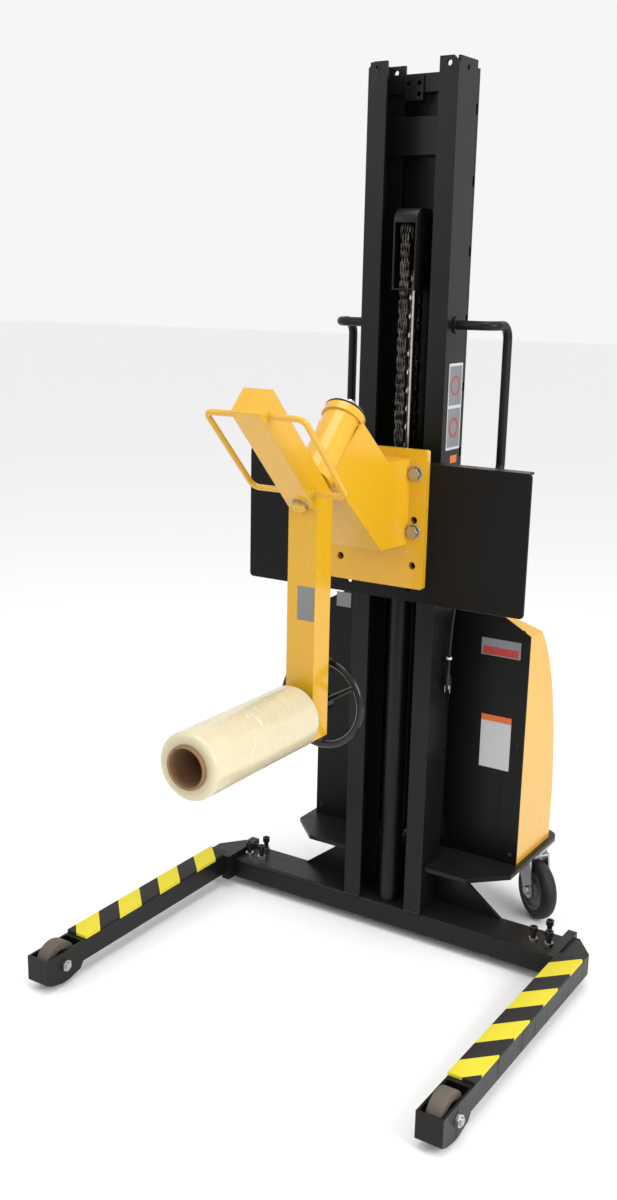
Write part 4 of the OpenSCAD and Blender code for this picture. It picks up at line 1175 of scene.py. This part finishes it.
@dataclass
class Welds:
    """Rippled weld beads where plates and tubes meet.

    Attributes:
        ripple: Distance from one ripple to the next.
    """

    ripple: float = 0.0034

    def bead(self, name: str, start: Triple, end: Triple, radius: float, body: str, slot: str,
             paint: str) -> None:
        """Lays one straight bead.

        Args:
            name: Name of the piece.
            start: Where it starts.
            end: Where it ends.
            radius: Radius of the bead.
            body: The body that it rides on.
            slot: Its slot in the record.
            paint: Its finish.
        """
        run = Vector(end) - Vector(start)
        count = max(3, int(run.length / self.ripple))
        step = run.length / count
        rows: list[tuple[float, float]] = []
        for number in range(count):
            swell = radius * (1.0 + 0.08 * math.sin(number * 1.9))
            rows += [(number * step, swell * 0.80), (number * step + step * 0.5, swell)]
        rows.append((run.length, radius * 0.75))
        piece = Bench.turned(name, rows, 10, place=Matrix.Translation(start) @ turn_to(run.normalized()))
        Bench.finish(piece, body, slot, paint, 60.0)

    def collar(self, name: str, middle: Triple, side: Side) -> None:
        """Lays a round bead where a hand loop meets the arm."""
        rows = [(0, .0058), (0, .0086), (.0012, .0082), (.0026, .0066), (.0030, .0058)]
        place = Matrix.Translation(middle) @ turn_to(Along.X.value * side.value)
        piece = Bench.turned(name, rows, 20, ring=True, place=place)
        Bench.finish(piece, "arm", "yellow_paint", angle=60.0)

    def build(self) -> None:
        """Lays the beads on the arm, the mast's feet and the base."""
        arm = ("arm", "yellow_paint", "yellow_paint")
        for side in Side:
            x, s = side.value * 0.0328, side.word
            self.bead(f"elbow_weld_{s}", (x, -.1990, 1.0984), (x, -.1370, 1.1241), .0018, *arm)
            for number, (y, z) in enumerate(((-.3760, 1.2960), (-.2133, 1.1334))):
                self.collar(f"loop_weld_{s}_{number}", (side.value * .0331, y, z), side)
            a, b = sorted((side.value * .063, side.value * .103))
            self.bead(f"mast_foot_weld_{s}", (a, .1918, .0735), (b, .1918, .0735), .0028, "frame", "black_paint",
                      "weld_black")
        self.bead("elbow_weld_front", (-.0320, -.1998, 1.0980), (.0320, -.1998, 1.0980), .0018, *arm)
        self.bead("elbow_weld_rear", (-.0320, -.1362, 1.1245), (.0320, -.1362, 1.1245), .0018, *arm)
        LOG.info("welds ready")


@dataclass
class Trim:
    """Washers, blank plates, panel screws and louvres.

    Attributes:
        bolt_x: How far the bracket's bolts are from the middle.
        bolt_rows: Heights of the two rows of bolts.
        face: Y of the bracket plate's front.
    """

    bolt_x: float = 0.090
    bolt_rows: tuple[float, float] = (1.016, 1.1416)
    face: float = 0.1047

    def washers(self) -> None:
        """Puts a washer under each of the bracket's bolt heads."""
        rows = [(0, .0141), (0, .0168), (.0004, .0172), (.0016, .0172), (.0020, .0168), (.0020, .0141)]
        places = [Matrix.Translation((x, self.face, z)) for x in (-self.bolt_x, self.bolt_x) for z in self.bolt_rows]
        first = Bench.turned("washer_0", rows, 36, ring=True, place=places[0] @ turn_to(Along.FRONT.value))
        made = [first] + [Bench.copy(first, f"washer_{number}", place @ places[0].inverted())
                          for number, place in enumerate(places) if number]
        Bench.finish(Bench.join("bolt_washers", made), "carriage", "zinc")

    def pivot_stack(self) -> None:
        """Puts the wide washers on the pivot tube and the painted cap on the bolt at the elbow."""
        slant = Vector((0.0, 1.0, 1.0)).normalized()
        foot = Vector((0.0, -.2095, 1.1075))
        turn = turn_to(slant)
        for name, start, inner, outer, thick, paint in (
                ("pivot_rubber_washer", .2333, .0383, .0455, .0040, "rubber"),
                ("pivot_steel_washer", .2375, .0212, .0430, .0026, "zinc")):
            rows = [(0, inner), (0, outer - .0004), (.0004, outer), (thick - .0004, outer), (thick, outer - .0004),
                    (thick, inner)]
            ring = Bench.turned(name, rows, 64, ring=True, place=Matrix.Translation(foot + slant * start) @ turn)
            Bench.finish(ring, "arm", paint)
        rows = [(0, .0152), (.0004, .0152), (.0112, .0152), (.0126, .0136), (.0126, .0060), (.0122, .0050)]
        cap = Bench.turned("elbow_bolt_cap", rows, 6, place=Matrix.Translation(foot) @ turn_to(-slant))
        Bench.finish(Bench.soften(cap, .0006), "arm", "yellow_paint")

    def sheave_hood(self) -> None:
        """Makes the folded cover over the sheave, with its arched top and open front and foot."""
        low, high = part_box("sheave_cover")
        cover = Bench.block("sheave_hood", low, high)
        for y, reach in ((low[1], .026), (high[1], .014)):
            Bench.round_edges(cover, lambda a, b: (min(a.z, b.z) > high[2] - .001 and abs(a.x - b.x) > .01
                                                   and max(abs(a.y - y), abs(b.y - y)) < .001), reach, 8)
        Bench.pick(cover, lambda centre, normal: abs(normal.y) > 0.99)
        bpy.ops.mesh.inset(thickness=.0032, use_individual=True)
        bpy.ops.mesh.delete(type="FACE")
        bpy.ops.object.mode_set(mode="OBJECT")
        Bench.pick(cover, lambda centre, normal: normal.z < -0.99)
        bpy.ops.mesh.delete(type="FACE")
        bpy.ops.object.mode_set(mode="OBJECT")
        Bench.only(cover)
        wall = cover.modifiers.new("sheet", "SOLIDIFY")
        wall.thickness, wall.offset = .0024, -1.0
        bpy.ops.object.modifier_apply(modifier=wall.name)
        Bench.soften(cover, .0007)
        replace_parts(Bench.finish(cover, "lift_head", "black_paint"), "sheave_cover")

    def plate(self, name: str, low: Triple, high: Triple, body: str, paint: str, slot: str) -> None:
        """Fixes a thin plate, with its face set in a little from a raised rim.

        Args:
            name: Name of the plate.
            low: Lowest corner.
            high: Highest corner.
            body: The body that it rides on.
            paint: Its finish.
            slot: Its slot in the record.
        """
        piece = Bench.block(name, low, high)
        thin = min(range(3), key=lambda axis: high[axis] - low[axis])
        out = {0: 1.0, 1: -1.0, 2: 1.0}[thin]
        Bench.pick(piece, lambda centre, normal: normal[thin] * out > 0.9)
        bpy.ops.mesh.inset(thickness=0.0012, depth=-0.00012)
        bpy.ops.object.mode_set(mode="OBJECT")
        Bench.finish(piece, body, slot, paint)

    def plates(self) -> None:
        """Fixes the blank plates, none of which carries any lettering."""
        self.plate("arm_plate", (-.008, -.2006, .870), (.032, -.2000, .940), "arm", "label_silver",
                   "aluminium")
        self.plate("mast_plate", (.1050, .212, 1.180), (.1056, .278, 1.367), "frame", "label_white",
                   "tie_white")
        for number, z in enumerate((1.186, 1.277)):
            self.plate(f"mast_panel_{number}", (.1055, .216, z), (.1059, .274, z + .084), "frame", "label_silver",
                       "aluminium")
            rows = [(0, .0165), (0, .0215), (.0004, .0213), (.0004, .0167)]
            ring = Bench.turned(f"mast_ring_{number}", rows, 40, ring=True,
                                place=Matrix.Translation((.1058, .245, z + .042)) @ turn_to(Along.X.value))
            Bench.finish(ring, "frame", "red_plastic")
        self.plate("mast_tag", (.1050, .236, 1.150), (.1055, .268, 1.167), "frame", "label_orange", "red_plastic")
        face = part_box("front_panel")[0][1]
        for name, x0, x1, z0, z1, paint in (
                ("panel_tag_top", .160, .258, .699, .740, "label_silver"),
                ("panel_tag_low", .170, .246, .424, .540, "label_white"),
                ("panel_tag_head", .170, .246, .540, .555, "label_orange"),
                ("panel_tag_red", .165, .253, .702, .720, "red_plastic"),
                ("panel_tag_left", -.235, -.194, .755, .792, "label_silver")):
            proud = .0009 if name == "panel_tag_red" else .0006
            self.plate(name, (x0, face - proud, z0), (x1, face, z1), "frame", paint, "aluminium")

    def screws(self) -> None:
        """Sets button-headed screws round the front panel."""
        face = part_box("front_panel")[0][1]
        rows = [(0, .0062), (.0008, .0062), (.0020, .0052), (.0027, .0038), (.0027, .0024), (.0012, .0022)]
        home = Matrix.Translation((-.262, face, .215))
        first = Bench.turned("panel_screw_0", rows, 18, place=home @ turn_to(Along.FRONT.value))
        made = [first]
        for x in (-.262, .262):
            for z in (.215, .490, .765):
                if (x, z) != (-.262, .215):
                    place = Matrix.Translation((x, face, z)) @ home.inverted()
                    made.append(Bench.copy(first, f"panel_screw_{len(made)}", place))
        Bench.finish(Bench.join("panel_screws", made), "frame", "black_steel")

    def louvres(self) -> None:
        """Presses two banks of louvres into the hood's back."""
        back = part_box("cabinet_hood")[1][1]
        first = Bench.block("louvre_0", (-.215, back - .001, .300), (-.075, back + .006, .312))
        Bench.pick(first, lambda centre, normal: normal.z > 0.9)
        bpy.ops.transform.resize(value=(1.0, 0.15, 1.0), center_override=(0, back - .001, 0))
        bpy.ops.object.mode_set(mode="OBJECT")
        Bench.soften(first, 0.0018)
        made = [first]
        for shift in (0.0, 0.290):
            for row in range(7):
                if shift or row:
                    place = Matrix.Translation((shift, 0, row * 0.026))
                    made.append(Bench.copy(first, f"louvre_{len(made)}", place))
        Bench.finish(Bench.join("hood_louvres", made), "frame", "hood_paint")

    def build(self) -> None:
        """Makes all the trim."""
        self.washers()
        self.pivot_stack()
        self.sheave_hood()
        self.plates()
        self.screws()
        self.louvres()
        LOG.info("trim ready")


@dataclass
class Controls:
    """The front of the control box at the back of the mast.

    Attributes:
        rim: Width of the cover's rim.
    """

    rim: float = 0.006

    def build(self) -> None:
        """Makes the cover, the charge gauge's bezel and its lens."""
        low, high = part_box("control_box")
        cover = Bench.block("control_cover", (low[0] + .004, high[1], low[2] + .004),
                            (high[0] - .004, high[1] + .0022, high[2] - .004))
        Bench.pick(cover, lambda centre, normal: normal.y > 0.9)
        bpy.ops.mesh.inset(thickness=self.rim, depth=0.0)
        bpy.ops.mesh.inset(thickness=0.0012, depth=-0.0008)
        bpy.ops.object.mode_set(mode="OBJECT")
        Bench.soften(cover, 0.0006)
        Bench.finish(cover, "frame", "battery_case")
        rows = [(0, .0125), (.004, .0125), (.0052, .0118), (.0052, .0100), (.0030, .0094), (0, .0094)]
        place = Matrix.Translation((.034, high[1] + .0014, high[2] - .030)) @ turn_to(Along.Y.value)
        Bench.finish(Bench.turned("gauge_bezel", rows, 36, ring=True, place=place), "frame", "zinc")
        rows = [(0, .0093), (.0022, .0090), (.0030, .0070), (.0032, .0020)]
        Bench.finish(Bench.turned("gauge_lens", rows, 30, place=place), "frame", "pump_grey")
        LOG.info("controls ready")


def dress_cad() -> None:
    """Paints every CAD node with the finish of its slot."""
    slots = {part["node"]: part["material_slot"] for part in frame["record"]["subparts"]}
    for name, obj in frame["nodes"].items():
        obj.material_slots[0].material = Paints.get(slots[name])
    LOG.info("%d nodes painted", len(slots))


def main() -> None:
    """Builds the studio and the machine's looks, in order."""
    logging.basicConfig(level=logging.INFO, format="%(name)s %(message)s")
    Studio().build()
    MainsCord().build()
    dress_cad()
    for part in (LiftChain(), FilmRoll(), RunningGear(), LegTape(), Welds(), Trim(), Controls()):
        part.build()


if __name__ == "__main__":
    main()
